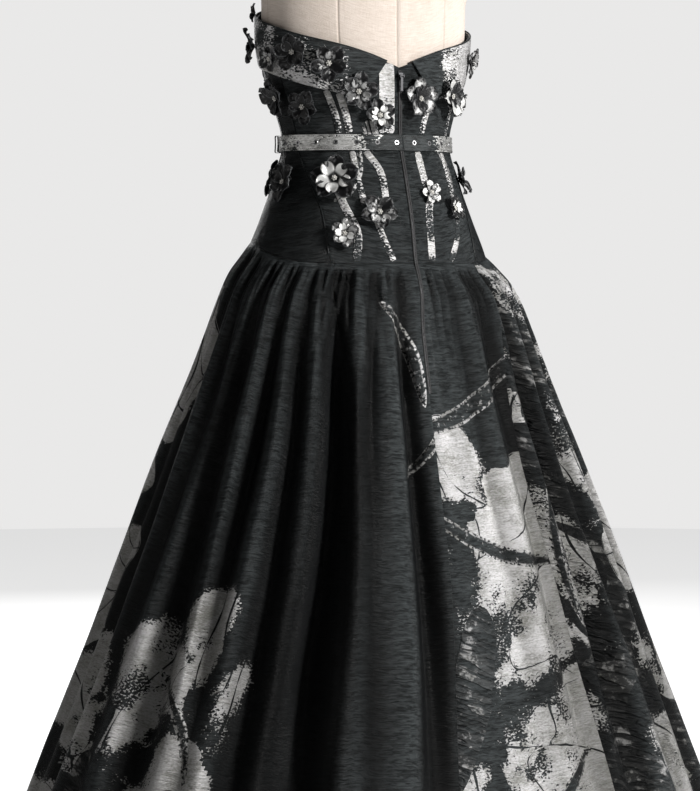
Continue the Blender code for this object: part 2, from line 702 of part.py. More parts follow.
def make_flower(number, flower, material):
    """One sewn flower: a cup of five joined petals with a raised middle, curved as the cloth is."""
    count = PETALS * PETAL_POINTS
    rise, radius, lift = flower.rise * MM, flower.radius * MM, flower.lift * MM
    reach = (body_point(flower.angle + 0.5, rise) - body_point(flower.angle - 0.5, rise)).length
    bm = bmesh.new()

    def place(distance, turn, height):
        angle = flower.angle + distance * math.cos(turn) / reach
        over = rise + distance * math.sin(turn)
        return bm.verts.new(body_point(angle, over, flower.seat * MM + height))

    rings = []
    levels = (
        (0.30, 0.0, 0.0),
        (1.0, lift, 1.0),
        (1.0, lift + PETAL_WALL, 1.0),
        (0.40, 3.4 * MM, 0.5),
    )
    for share, height, lobes in levels:
        line = []
        for i in range(count):
            petal = math.cos(2 * math.pi * (i % PETAL_POINTS) / PETAL_POINTS)
            notch = PETAL_NOTCH * lobes * (0.5 + 0.5 * petal) ** 2
            turn = math.radians(flower.turn) + 2 * math.pi * i / count
            line.append(place(radius * share * (1 - notch), turn, height))
        rings.append(line)
    for low, high in zip(rings, rings[1:]):
        for i in range(count):
            n = (i + 1) % count
            bm.faces.new((low[i], low[n], high[n], high[i]))
    base, middle = place(0.0, 0.0, 0.0), place(0.0, 0.0, 3.4 * MM)
    for i in range(count):
        n = (i + 1) % count
        bm.faces.new((rings[0][i], rings[0][n], base))
        bm.faces.new((rings[-1][i], rings[-1][n], middle))
    bmesh.ops.recalc_face_normals(bm, faces=bm.faces)
    name = f"flower_{number:02d}"
    mesh = bpy.data.meshes.new(name)
    bm.to_mesh(mesh)
    bm.free()
    add_object(name, mesh, material)


def make_torso(material):
    """The form's torso, from below the hips to the neck."""
    rises = [FORM_LOW_RISE, FORM_LOW_RISE + 0.012, -0.235, -0.19, -0.157, -0.107, -0.078, -0.05]
    rises += [-0.028, -0.013, 0.0, 0.013, 0.03, 0.07, 0.107, 0.15, 0.2, 0.24, 0.29, 0.325]
    rises += [0.35, 0.372, 0.392, 0.415, 0.455]
    columns = [12.0 * i for i in range(30)]
    bm = bmesh.new()
    rows = []
    for rise in rises:
        inset = BODICE_WALL + FORM_CLEARANCE + FORM_TAPER * abs(rise)
        inset *= 1 - ease(rise, 0.2, 0.3)
        table = BODY if rise < 0.2 else SHOULDERS
        width, back, front = smooth_row(table, rise)
        if rise == FORM_LOW_RISE:
            inset += 12 * MM
        row = []
        for angle in columns:
            point, direction = ring(angle, width, back, front)
            point += direction * (FORM_CUP_SHARE * cup_swell(angle, rise) - inset)
            row.append(bm.verts.new((point.x, point.y, WAIST_HEIGHT + rise)))
        rows.append(row)
    for low, high in zip(rows, rows[1:]):
        for i in range(len(columns)):
            n = (i + 1) % len(columns)
            bm.faces.new((low[i], low[n], high[n], high[i]))
    bm.faces.new(rows[0])
    bm.faces.new(rows[-1])
    bmesh.ops.recalc_face_normals(bm, faces=bm.faces)
    mesh = bpy.data.meshes.new("form_torso")
    bm.to_mesh(mesh)
    bm.free()
    mesh.shade_smooth()
    mesh.set_sharp_from_angle(angle=math.radians(50))
    add_object("form_torso", mesh, material)


def make_stand(material):
    """The pole under the torso, and the round base with its boss."""
    low = BOSS_HEIGHT + SEAM_GAP
    high = WAIST_HEIGHT + FORM_LOW_RISE - SEAM_GAP
    bm = bmesh.new()
    bmesh.ops.create_cone(
        bm, cap_ends=True, segments=24, radius1=POLE_RADIUS, radius2=POLE_RADIUS, depth=high - low
    )
    bmesh.ops.translate(bm, vec=(0, 0, (high + low) / 2), verts=bm.verts)
    mesh = bpy.data.meshes.new("stand_pole")
    bm.to_mesh(mesh)
    bm.free()
    add_object("stand_pole", mesh, material)
    bevel = 3 * MM
    profile = [
        (0.0, BOSS_HEIGHT),
        (BOSS_RADIUS - bevel, BOSS_HEIGHT),
        (BOSS_RADIUS, BOSS_HEIGHT - bevel),
        (BOSS_RADIUS, BASE_THICKNESS + 2 * bevel),
        (BOSS_RADIUS + 3 * bevel, BASE_THICKNESS),
        (BASE_RADIUS - bevel, BASE_THICKNESS),
        (BASE_RADIUS, BASE_THICKNESS - bevel),
        (BASE_RADIUS, 0.0),
        (0.0, 0.0),
    ]
    mesh = bpy.data.meshes.new("stand_base")
    points = [(x, 0.0, z) for x, z in profile]
    mesh.from_pydata(points, [(i, i + 1) for i in range(len(points) - 1)], [])
    base = add_object("stand_base", mesh, material)
    screw = base.modifiers.new("turn", "SCREW")
    screw.steps = screw.render_steps = 40
    screw.use_merge_vertices = True
    screw.merge_threshold = 0.0001


def make_material(name, color, roughness, metallic=0.0):
    """A Principled material."""
    material = bpy.data.materials.new(name)
    material.use_nodes = True
    shader = material.node_tree.nodes["Principled BSDF"]
    shader.inputs["Base Color"].default_value = (*color, 1.0)
    shader.inputs["Roughness"].default_value = roughness
    shader.inputs["Metallic"].default_value = metallic
    return material


def main():
    """Builds the gown, then the form that it stands on."""
    for obj in list(bpy.data.objects):
        bpy.data.objects.remove(obj)
    for name in ("ball_gown", "cutters"):
        bpy.context.scene.collection.children.link(bpy.data.collections.new(name))
    brocade = make_material("black_jacquard", (0.020, 0.022, 0.024), 0.45)
    silver = make_material("silver_jacquard", (0.42, 0.42, 0.42), 0.40)
    petal = make_material("petal_cloth", (0.10, 0.105, 0.11), 0.40)
    metal = make_material("dark_metal", (0.05, 0.05, 0.055), 0.35, 1.0)
    tape = make_material("zip_tape_cloth", (0.012, 0.012, 0.014), 0.6)
    linen = make_material("form_linen", (0.80, 0.71, 0.62), 0.85)
    make_bodice(brocade)
    make_neck_band(silver)
    make_belt(silver, brocade)
    make_buckle(metal)
    make_zip_tape(tape)
    make_slider(metal)
    make_skirt(brocade)
    for number, flower in enumerate(FLOWERS, start=1):
        make_flower(number, flower, petal)
    make_torso(linen)
    make_stand(metal)


main()
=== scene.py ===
"""Looks for a strapless ball gown that stands on a limbless dress form.

The gown's front faces -Y and its zip faces +Y. An angle round the body is counted in degrees
from the centre back, towards the wearer's left (+X). Lengths are in metres, +Z is up.
"""

import logging
import math
from dataclasses import dataclass, field
from enum import Enum
from typing import Callable, NamedTuple, Sequence

import bmesh
import bpy
import numpy as np
from mathutils import Matrix, Vector


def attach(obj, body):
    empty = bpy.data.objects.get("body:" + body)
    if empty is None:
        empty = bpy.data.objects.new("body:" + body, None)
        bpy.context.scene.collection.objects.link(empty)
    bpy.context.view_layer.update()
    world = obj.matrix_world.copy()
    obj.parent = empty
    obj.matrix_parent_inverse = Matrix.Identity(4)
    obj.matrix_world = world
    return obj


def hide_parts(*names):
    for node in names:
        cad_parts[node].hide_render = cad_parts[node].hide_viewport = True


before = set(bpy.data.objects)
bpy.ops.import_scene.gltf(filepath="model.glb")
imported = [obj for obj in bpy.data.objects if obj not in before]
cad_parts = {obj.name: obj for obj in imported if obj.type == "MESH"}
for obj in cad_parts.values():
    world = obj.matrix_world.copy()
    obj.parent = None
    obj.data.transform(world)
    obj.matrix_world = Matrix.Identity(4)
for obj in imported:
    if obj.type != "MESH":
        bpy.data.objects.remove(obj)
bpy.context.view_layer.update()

LOG = logging.getLogger("ball_gown")
MM = 0.001
GOWN_BODY = "gown"
SEED = 7

Table = tuple[tuple[float, ...], ...]
Inputs = dict[str, object]
Numbers = np.ndarray | float
Path = tuple[np.ndarray, np.ndarray]
Object = bpy.types.Object
Mesh = bpy.types.Mesh
Material = bpy.types.Material
Node = bpy.types.Node
Socket = bpy.types.NodeSocket
Tree = bpy.types.NodeTree


# ---- Shape ----


@dataclass(frozen=True)
class SmoothTable:
    """A short table that is read on a smooth curve through its rows."""

    rows: Table

    def at(self, value: Numbers) -> np.ndarray:
        """Reads the table's other columns at values of its first column.

        Args:
            value: Any shape of first-column values.

        Returns:
            The same shape with the other columns added as the last axis.
        """
        keys = np.array([row[0] for row in self.rows])
        data = np.array([row[1:] for row in self.rows])
        value = np.clip(np.asarray(value, float), keys[0], keys[-1])
        i = np.clip(np.searchsorted(keys, value, side="right") - 1, 0, len(keys) - 2)
        span = keys[i + 1] - keys[i]
        t = ((value - keys[i]) / span)[..., None]
        before, after = np.maximum(i - 1, 0), np.minimum(i + 2, len(keys) - 1)
        low, high = data[i], data[i + 1]
        slope_low = (high - data[before]) * (span / (keys[i + 1] - keys[before]))[..., None]
        slope_high = (data[after] - low) * (span / (keys[after] - keys[i]))[..., None]
        result = (2 * t**3 - 3 * t**2 + 1) * low + (t**3 - 2 * t**2 + t) * slope_low
        return result + (3 * t**2 - 2 * t**3) * high + (t**3 - t**2) * slope_high


class Fold(NamedTuple):
    """One valley between the skirt's gathers: angles and widths in degrees, depths in millimetres."""

    top: float
    hem: float
    width_top: float
    width_hem: float
    depth_top: float
    depth_mid: float
    depth_hem: float


# Rise above the waist, half width, back depth, front depth.
BODY = SmoothTable((
    (-0.190, 0.1900, 0.1410, 0.1330),
    (-0.157, 0.1815, 0.1350, 0.1290),
    (-0.107, 0.1600, 0.1260, 0.1210),
    (-0.050, 0.1385, 0.1105, 0.1080),
    (0.000, 0.1262, 0.0958, 0.0970),
    (0.050, 0.1375, 0.0945, 0.1060),
    (0.107, 0.1555, 0.0925, 0.1190),
    (0.150, 0.1620, 0.0920, 0.1250),
    (0.200, 0.1650, 0.0930, 0.1220),
))
SHOULDERS = SmoothTable((
    (0.200, 0.1650, 0.0930, 0.1220),
    (0.240, 0.1745, 0.0960, 0.1120),
    (0.290, 0.1780, 0.0970, 0.0960),
    (0.325, 0.1680, 0.0910, 0.0840),
    (0.350, 0.1450, 0.0820, 0.0740),
    (0.372, 0.1050, 0.0710, 0.0640),
    (0.392, 0.0720, 0.0600, 0.0560),
    (0.415, 0.0580, 0.0540, 0.0520),
    (0.455, 0.0545, 0.0515, 0.0495),
))
# Angle from the centre back, rise of the neckline above the waist.
NECKLINE = SmoothTable((
    (0, 0.1050), (7, 0.1115), (17, 0.1215), (31, 0.1325), (57, 0.1470),
    (82, 0.1620), (110, 0.1760), (140, 0.1900), (165, 0.1840), (180, 0.1740),
))
# Share of the way down, then how far half width, back and front stand out, and the sideways sway.
FLARES = SmoothTable((
    (0.00, 0.000, 0.000, 0.000, 0.000),
    (0.02, 0.021, 0.012, 0.014, -0.003),
    (0.05, 0.046, 0.025, 0.030, -0.006),
    (0.11, 0.072, 0.043, 0.052, -0.007),
    (0.24, 0.123, 0.077, 0.092, -0.008),
    (0.37, 0.175, 0.108, 0.126, -0.010),
    (0.50, 0.228, 0.139, 0.160, -0.011),
    (0.63, 0.279, 0.164, 0.188, -0.011),
    (0.76, 0.329, 0.187, 0.212, -0.010),
    (0.88, 0.373, 0.207, 0.232, -0.009),
    (1.00, 0.415, 0.226, 0.250, -0.008),
))
# Share of the way down, then how far the cloth beside the zip hangs in.
BACK_FLAT = SmoothTable(((0.0, 0.0), (0.05, 0.012), (0.11, 0.024), (0.3, 0.03), (0.6, 0.028), (1.0, 0.026)))
# Share of the way down, then the angle of the centre back seam and of the side-back seam.
BACK_SEAM = SmoothTable(((0.0, 0.0), (0.05, 1.2), (0.11, 2.0), (0.3, 2.6), (0.5, 3.0), (0.75, 4.2), (1.0, 5.0)))
SKIRT_SEAM = SmoothTable(((0.0, 38.0), (0.05, 35.0), (0.20, 28.0), (0.50, 26.0), (1.0, 27.0)))
# Rise above the waist, then the angle of the seam between a back panel and a side gore.
GORE_SEAM = SmoothTable(((-0.18, 38.0), (-0.093, 50.0), (-0.046, 64.0), (0.0, 78.0), (0.2, 78.0)))
FOLDS = (
    Fold(-4.5, -6.0, 2.2, 4.0, 4.0, 1.0, 0.0),
    Fold(-13.0, -14.0, 2.6, 6.0, 4.5, 3.0, 3.0),
    Fold(-26.0, -23.0, 3.6, 5.0, 7.0, 10.0, 12.0),
    Fold(-37.0, -32.5, 2.8, 3.6, 6.0, 12.0, 16.0),
    Fold(-47.0, -43.0, 2.8, 5.0, 5.0, 8.0, 9.0),
    Fold(-58.0, -56.0, 3.0, 5.0, 5.5, 9.0, 15.0),
    Fold(-69.0, -70.0, 3.0, 6.0, 5.0, 7.0, 9.0),
    Fold(-81.0, -86.0, 3.2, 6.0, 5.5, 10.0, 17.0),
    Fold(-94.0, -100.0, 3.0, 6.0, 5.0, 8.0, 10.0),
    Fold(-106.0, -115.0, 3.0, 6.5, 5.5, 10.0, 18.0),
    Fold(-118.0, -128.0, 3.2, 5.0, 5.0, 8.0, 11.0),
    Fold(-130.0, -141.0, 3.0, 5.5, 5.0, 9.0, 14.0),
    Fold(-143.0, -152.0, 3.0, 4.5, 5.5, 8.0, 9.0),
    Fold(-156.0, -164.0, 3.2, 5.0, 5.0, 9.0, 15.0),
    Fold(-169.0, -175.0, 3.0, 4.5, 4.5, 6.0, 7.0),
    Fold(10.0, 8.0, 2.2, 3.4, 7.0, 12.0, 16.0),
    Fold(21.0, 18.0, 3.0, 4.0, 6.0, 7.0, 4.0),
    Fold(33.5, 29.5, 3.8, 4.8, 7.5, 17.0, 26.0),
    Fold(46.0, 43.0, 2.8, 4.0, 6.5, 11.0, 16.0),
    Fold(55.5, 52.5, 2.4, 3.6, 6.0, 9.0, 8.0),
    Fold(67.5, 62.5, 3.2, 5.0, 6.0, 13.0, 21.0),
    Fold(79.0, 77.0, 2.8, 5.0, 5.0, 8.0, 10.0),
    Fold(91.0, 93.0, 3.2, 6.0, 5.5, 10.0, 18.0),
    Fold(103.0, 107.0, 3.0, 5.5, 5.0, 8.0, 10.0),
    Fold(115.0, 121.0, 3.2, 6.0, 5.5, 10.0, 17.0),
    Fold(127.0, 134.0, 3.0, 5.0, 5.0, 8.0, 10.0),
    Fold(139.0, 146.0, 3.0, 5.5, 5.5, 9.0, 15.0),
    Fold(151.0, 157.0, 3.0, 4.5, 5.0, 8.0, 9.0),
    Fold(163.0, 168.0, 3.2, 5.0, 5.0, 9.0, 14.0),
    Fold(176.0, 181.0, 3.0, 4.5, 4.5, 7.0, 8.0),
)


def turned(angle: Numbers) -> np.ndarray:
    """The same angles as ones from -180 to 180 degrees."""
    return (np.asarray(angle, float) + 180.0) % 360.0 - 180.0


def smooth_step(value: Numbers, low: float, high: float) -> np.ndarray:
    """0 below low, 1 above high, and a smooth step between."""
    t = np.clip((np.asarray(value, float) - low) / (high - low), 0.0, 1.0)
    return t * t * (3 - 2 * t)


NOISE_CELLS = 128


def soft_noise(x: np.ndarray, y: np.ndarray, seed: int) -> np.ndarray:
    """Smooth seeded noise from -1 to 1, one bump to each unit of x and y.

    Args:
        x: First coordinates.
        y: Second coordinates, of the same shape.
        seed: Which noise.

    Returns:
        The noise at each point.
    """
    lattice = np.random.default_rng(seed).uniform(-1, 1, (NOISE_CELLS, NOISE_CELLS))
    xi, yi = np.floor(x).astype(int), np.floor(y).astype(int)
    tx, ty = x - xi, y - yi
    tx, ty = tx * tx * (3 - 2 * tx), ty * ty * (3 - 2 * ty)
    x0, x1, y0, y1 = (i % NOISE_CELLS for i in (xi, xi + 1, yi, yi + 1))
    a, b, c, d = lattice[x0, y0], lattice[x1, y0], lattice[x0, y1], lattice[x1, y1]
    return (a * (1 - tx) + b * tx) * (1 - ty) + (c * (1 - tx) + d * tx) * ty


def ring(angle: np.ndarray, sections: np.ndarray) -> tuple[np.ndarray, np.ndarray]:
    """Plan points and outward directions on level sections.

    Args:
        angle: Angles in degrees.
        sections: Half width, back depth and front depth at each angle, on the last axis.

    Returns:
        The points and the unit directions, with two values on the last axis.
    """
    turn = np.radians(angle)
    half, depth = sections[..., 0], np.where(np.cos(turn) >= 0, sections[..., 1], sections[..., 2])
    point = np.stack([half * np.sin(turn), depth * np.cos(turn)], -1)
    out = np.stack([np.sin(turn) / half, np.cos(turn) / depth], -1)
    return point, out / np.linalg.norm(out, axis=-1, keepdims=True)


@dataclass(frozen=True)
class GownShape:
    """The worn form of the gown, from the same named sizes as its solids."""

    waist_height: float = 1.060
    hem_height: float = 0.008
    hip_gap: float = 0.35 * MM
    hip_seam_low: float = -0.169
    hip_seam_lift: float = 0.031
    hip_seam_lift_angle: float = 108.0
    hip_seam_lift_width: float = 36.0
    cup_rise: float = 0.135
    cup_angle: float = 30.0
    cup_fullness: float = 13 * MM
    cup_width: float = 20.0
    cup_height: float = 0.046
    flat_angle: float = -6.0
    flat_width: float = 18.0
    fold_mid_share: float = 0.30
    fold_width: float = 1.08
    fold_sway: float = 2.3
    fold_change: float = 0.32
    fold_pinch: float = 0.22
    fold_depth: float = 1.15
    fold_deepening: float = 1.35
    gather_share: float = 0.035
    gather_depth: float = 7.0
    dent_depth: float = 2.8
    slant_depth: float = 2.0

    def cup(self, angle: np.ndarray, rise: np.ndarray) -> np.ndarray:
        """How far a cup stands out of the plain section.

        Args:
            angle: Angles round the body.
            rise: Heights above the waist.

        Returns:
            The distance at each point.
        """
        off_angle = (180.0 - self.cup_angle - np.abs(turned(angle))) / self.cup_width
        off_rise = (rise - self.cup_rise) / self.cup_height
        return self.cup_fullness * np.exp(-(off_angle**2) - off_rise**2)

    def body(self, angle: Numbers, rise: Numbers, outward: Numbers = 0.0) -> np.ndarray:
        """Points on the bodice's outer face, moved outward.

        Args:
            angle: Angles round the body.
            rise: Heights above the waist.
            outward: Distance out of the face.

        Returns:
            Points, with x, y and z on the last axis.
        """
        angle, rise, outward = np.broadcast_arrays(*(np.asarray(v, float) for v in (angle, rise, outward)))
        point, out = ring(angle, BODY.at(rise))
        point = point + out * (outward + self.cup(angle, rise))[..., None]
        return np.concatenate([point, (self.waist_height + rise)[..., None]], -1)

    def neck(self, angle: Numbers) -> np.ndarray:
        """The height of the neckline above the waist."""
        return NECKLINE.at(np.abs(turned(angle)))[..., 0]

    def hip(self, angle: Numbers) -> np.ndarray:
        """The height of the hip seam above the waist, below zero."""
        off = (np.abs(turned(angle)) - self.hip_seam_lift_angle) / self.hip_seam_lift_width
        return self.hip_seam_low + self.hip_seam_lift * np.exp(-(off**2))

    def folds(self, angle: np.ndarray, share: np.ndarray) -> np.ndarray:
        """How far the gathers' main valleys draw the skirt in.

        Args:
            angle: Angles round the body.
            share: Shares of the way from the hip seam, 0, to the hem, 1.

        Returns:
            The distance at each point.
        """
        depth = np.zeros(np.broadcast(angle, share).shape)
        loose = smooth_step(share, 0.04, 0.3)
        for number, fold in enumerate(FOLDS):
            wander = soft_noise(share * 2.6 + 7.3 * number, 3.7 * number + 0 * share, SEED + 20)
            middle = fold.top + (fold.hem - fold.top) * share + self.fold_sway * loose * wander
            width = (fold.width_top + (fold.width_hem - fold.width_top) * share**0.25) * self.fold_width
            rows = ((0.0, fold.depth_top), (self.fold_mid_share, fold.depth_mid), (1.0, fold.depth_hem))
            off = turned(angle - middle) / width
            change = soft_noise(share * 3.1 + 5.1 * number, 1.9 * number + 0 * share, SEED + 21)
            deep = 1 + self.fold_change * loose * change
            profile = np.exp(-(off**2)) + self.fold_pinch * np.exp(-((off / 0.45) ** 2))
            depth += SmoothTable(rows).at(share)[..., 0] * deep * profile
        deepening = self.fold_deepening * smooth_step(share, 0.06, 0.22) * smooth_step(share, 1.1, 0.55)
        depth = depth * (self.fold_depth + deepening)
        return depth * MM * (0.12 + 0.88 * smooth_step(share, 0.0, self.gather_share))

    def creases(self, angle: np.ndarray, share: np.ndarray) -> np.ndarray:
        """How far the small gathers at the seam and the soft dents lower down draw the skirt in.

        Args:
            angle: Angles round the body.
            share: Shares of the way from the hip seam, 0, to the hem, 1.

        Returns:
            The distance at each point.
        """
        beside_zip = 1 - np.exp(-(((angle - BACK_SEAM.at(share)[..., 0]) / 7.0) ** 2))
        wander = 2.4 * soft_noise(angle / 9.0, share * 5, SEED)
        gathers = 1.0 - np.abs(np.sin(np.radians(angle) * 33 + wander)) ** 0.8
        gathers += 0.6 * (1.0 - np.abs(np.sin(np.radians(angle) * 54 - wander)))
        gathers *= 0.7 + 0.6 * soft_noise(angle / 5.0, share * 4, SEED + 1)
        fading = np.exp(-share / 0.13) * smooth_step(share, 0.0, 0.012)
        dents = soft_noise(angle / 4.6, share * 3.2, SEED + 2) + 0.5 * soft_noise(angle / 2.1, share * 6.0, SEED + 3)
        slant = soft_noise(angle / 7.0 + share * 9.0, share * 2.0, SEED + 4)
        low = smooth_step(share, 0.05, 0.3)
        small = (self.dent_depth * dents + self.slant_depth * slant) * (0.35 + 0.65 * low)
        small = self.gather_depth * gathers * fading + small
        return small * MM * (0.25 + 0.75 * beside_zip) * smooth_step(share, 0.0, 0.02)

    def skirt(self, angle: np.ndarray, share: np.ndarray) -> np.ndarray:
        """Points on the skirt's outer face.

        Args:
            angle: Angles round the body.
            share: Shares of the way from the hip seam, 0, to the hem, 1.

        Returns:
            Points, with x, y and z on the last axis.
        """
        rise = self.hip(angle)
        flare = FLARES.at(share)
        point, out = ring(angle, BODY.at(rise) + flare[..., :3])
        off = turned(angle - self.flat_angle) / self.flat_width
        flat = BACK_FLAT.at(share)[..., 0] * np.exp(-(off**2))
        point = point - out * (self.folds(angle, share) + flat + self.creases(angle, share))[..., None]
        top = self.waist_height + rise - self.hip_gap
        z = top + (self.hem_height - top) * share
        return np.stack([point[..., 0] + flare[..., 3], point[..., 1], z], -1)


SHAPE = GownShape()


def grid_normals(grid: np.ndarray, closed: bool = False) -> np.ndarray:
    """Outward unit directions of a grid of points, rows going down and columns going round.

    Args:
        grid: Points, rows by columns by 3.
        closed: Whether the last column meets the first.

    Returns:
        The directions, in the same shape.
    """
    if closed:
        around = np.roll(grid, -1, 1) - np.roll(grid, 1, 1)
    else:
        around = np.gradient(grid, axis=1)
    normal = np.cross(around, np.gradient(grid, axis=0))
    return normal / np.maximum(np.linalg.norm(normal, axis=-1, keepdims=True), 1e-12)


# ---- Motifs ----


class Yarn(Enum):
    """How a woven motif is filled. The value is the mark that tells the shader."""

    SILVER = 0
    CORD = 100
    RIBBED = 200


class Motif(NamedTuple):
    """One broad leaf or petal of the woven design, in metres on the flat cloth and degrees."""

    across: float
    down: float
    turn: float
    length: float
    width: float
    bend: float = 0.0
    fade: float = 0.0
    yarn: Yarn = Yarn.SILVER
    layer: int = 0

    def marks(self, cloth: np.ndarray) -> np.ndarray:
        """Works out the motif's fields on the cloth.

        Args:
            cloth: Flat cloth coordinates, with across and down on the last axis.

        Returns:
            Distance inside the edge and from the nearest vein in millimetres, yarn and fade.
        """
        a = math.radians(self.turn)
        du, dv = cloth[..., 0] - self.across, cloth[..., 1] - self.down
        x = du * math.cos(a) + dv * math.sin(a)
        y = -du * math.sin(a) + dv * math.cos(a)
        along = x / (self.length / 2)
        y = y - self.bend * (1 - along**2)
        inside = np.clip(1 - np.abs(along) ** 2.6, 0, None) ** 0.55
        seed = int(abs(self.across * 911 + self.down * 577 + self.turn)) + 3
        lobes = soft_noise(x * 16 + 40, np.sign(y) * 3.0 + 9, seed)
        lobes = lobes + 0.5 * soft_noise(x * 45 + 40, np.sign(y) + 9, seed)
        half = self.width / 2 * inside * (1 + (0.16 * lobes - 0.30 * along) * (self.yarn is not Yarn.CORD))
        edge = np.minimum(half - np.abs(y), (1 - np.abs(along)) * self.length * 0.42)
        lines = [y + 0.08 * self.width * np.sin(along * 3.0 + seed)]
        if self.yarn is Yarn.SILVER:
            lines.append(x - self.length * (0.27 - 1.2 * (y / self.width) ** 2 + 0.05 * np.sin(y * 60)))
            lines.append(y - 0.30 * self.width * (1 + 0.3 * np.sin(along * 4)) * (-1) ** seed)
        rib = np.prod(np.sign(lines), 0) * np.abs(lines).min(0)
        low = smooth_step(along + 0.3 * soft_noise(x * 12 + 30, y * 12 + 30, seed + 1), -0.6, 0.8)
        whole = max(self.fade - 0.9, 0.0)
        fade = whole + (self.fade - whole) * low
        return np.stack([edge / MM, rib / MM, np.full_like(edge, self.yarn.value), fade], -1)


def blossom(
    across: float, down: float, size: float, turn: float, petals: int = 5, fade: float = 0.85
) -> tuple[Motif, ...]:
    """A broad woven flower, whose petals fade into dark specks towards its middle.

    Args:
        across: Its middle, across the cloth.
        down: Its middle, down the cloth.
        size: Length of a petal.
        turn: Direction of its first petal, in degrees.
        petals: How many petals it has.
        fade: How far the petals break up into specks; above 0.9 their tips do so too.

    Returns:
        Its petals and the cord that it grows from.
    """
    made = [Motif(across, down, turn + 200, size * 0.75, size * 0.16, 0.01, 0.0, Yarn.RIBBED, 2)]
    for k in range(petals):
        way = turn + 360 * k / petals + 9 * math.sin(k * 2.3 + turn)
        length = size * (1 + 0.13 * math.sin(k * 1.7 + down * 9))
        u = across + 0.60 * length * math.cos(math.radians(way))
        v = down + 0.60 * length * math.sin(math.radians(way))
        made.append(Motif(u, v, way + 180, length, length * 0.80, 0.012, fade - 0.12 * (k % 3), layer=k % 2))
    return tuple(made)


LAYERS = 3
# The marks of plain ground: far outside any edge and far from any vein.
OUTSIDE = np.array([-60.0, 60.0, Yarn.SILVER.value, 0.0])


def weave_marks(cloth: np.ndarray, motifs: Sequence[Motif]) -> list[np.ndarray]:
    """Lays motifs on the cloth, in layers that cover one another.

    Args:
        cloth: Flat cloth coordinates.
        motifs: The motifs of this panel.

    Returns:
        For each layer, the marks of the motif that is nearest.
    """
    layers = []
    for number in range(LAYERS):
        best = np.broadcast_to(OUTSIDE, cloth.shape[:-1] + (4,)).copy()
        for motif in motifs:
            if motif.layer == number:
                marks = motif.marks(cloth)
                nearer = marks[..., :1] > best[..., :1]
                best = np.where(nearer, marks, best)
        layers.append(best)
    return layers


def patch_marks(
    cloth: np.ndarray, silver: Numbers, scale: float, seed: int, spread: float = 0.8
) -> list[np.ndarray]:
    """Marks of a cut from the dense part of the design, in speckled patches.

    Args:
        cloth: Flat cloth coordinates.
        silver: The share of silver, from -1 to 1, at each point.
        scale: Patches to the metre.
        seed: Which patches.
        spread: How far the patches differ.

    Returns:
        The marks of each layer.
    """
    u, v = cloth[..., 0] * scale + 50, cloth[..., 1] * scale + 50
    field = soft_noise(u, v, seed) + 0.5 * soft_noise(u * 2.1, v * 2.1, seed + 1)
    edge = (field * spread + silver) * 30
    fade = np.clip(0.45 + 0.5 * spread * soft_noise(u * 0.7, v * 0.7, seed + 2), 0.1, 0.8)
    layers = [np.broadcast_to(OUTSIDE, edge.shape + (4,)).copy() for _ in range(LAYERS)]
    layers[0][..., 0], layers[0][..., 3] = edge, fade
    return layers


# ---- Meshes ----


def new_object(name: str, mesh: Mesh) -> Object:
    """Links a mesh to the scene as an object at the origin.

    Args:
        name: The object's name.
        mesh: Its mesh.

    Returns:
        The object.
    """
    obj = bpy.data.objects.new(name, mesh)
    bpy.context.scene.collection.objects.link(obj)
    return obj


def smooth(mesh: Mesh, sharp: float = 50.0) -> Mesh:
    """Shades a mesh smooth, with edges over an angle kept sharp.

    Args:
        mesh: The mesh.
        sharp: The angle in degrees.

    Returns:
        The same mesh.
    """
    mesh.shade_smooth()
    mesh.set_sharp_from_angle(angle=math.radians(sharp))
    return mesh


def raw_mesh(name: str, points: np.ndarray, faces: Sequence[Sequence[int]]) -> Mesh:
    """Makes a mesh from points and faces.

    Args:
        name: The mesh's name.
        points: Its points, in any array with x, y and z on the last axis.
        faces: Indices of each face's points.

    Returns:
        The mesh.
    """
    mesh = bpy.data.meshes.new(name)
    mesh.from_pydata(np.asarray(points, float).reshape(-1, 3).tolist(), [], [list(map(int, f)) for f in faces])
    mesh.update()
    return mesh


def grid_faces(rows: int, columns: int, start: int, closed: bool, flip: bool) -> list[tuple[int, ...]]:
    """The quads of one grid of points.

    Args:
        rows: Rows of points.
        columns: Columns of points.
        start: Index of the grid's first point.
        closed: Whether the last column meets the first.
        flip: Whether the quads face inwards.

    Returns:
        The quads.
    """
    faces = []
    for r in range(rows - 1):
        for c in range(columns if closed else columns - 1):
            n = (c + 1) % columns
            a, b = start + r * columns, start + (r + 1) * columns
            quad = (a + c, a + n, b + n, b + c)
            faces.append(quad[::-1] if flip else quad)
    return faces


def cloth_coordinates(grid: np.ndarray) -> np.ndarray:
    """Flat cloth coordinates of a grid.

    Args:
        grid: Points, rows by columns by 3, rows going down.

    Returns:
        Distances across from the middle column and down from the top row.
    """
    across = np.linalg.norm(np.diff(grid, axis=1), axis=-1)
    across = np.concatenate([np.zeros((len(grid), 1)), np.cumsum(across, axis=1)], axis=1)
    across -= across[:, across.shape[1] // 2][:, None]
    down = np.linalg.norm(np.diff(grid, axis=0), axis=-1)
    down = np.concatenate([np.zeros((1, grid.shape[1])), np.cumsum(down, axis=0)], axis=0)
    return np.stack([across, down + np.ptp(grid[0, :, 2]) - (grid[0, :, 2] - grid[0, :, 2].min())], -1)


def set_number(mesh: Mesh, name: str, values: np.ndarray) -> None:
    """Gives each point of a mesh a number that the shader reads."""
    data = mesh.attributes.new(name, "FLOAT", "POINT").data
    data.foreach_set("value", np.asarray(values, dtype=np.float32).ravel())


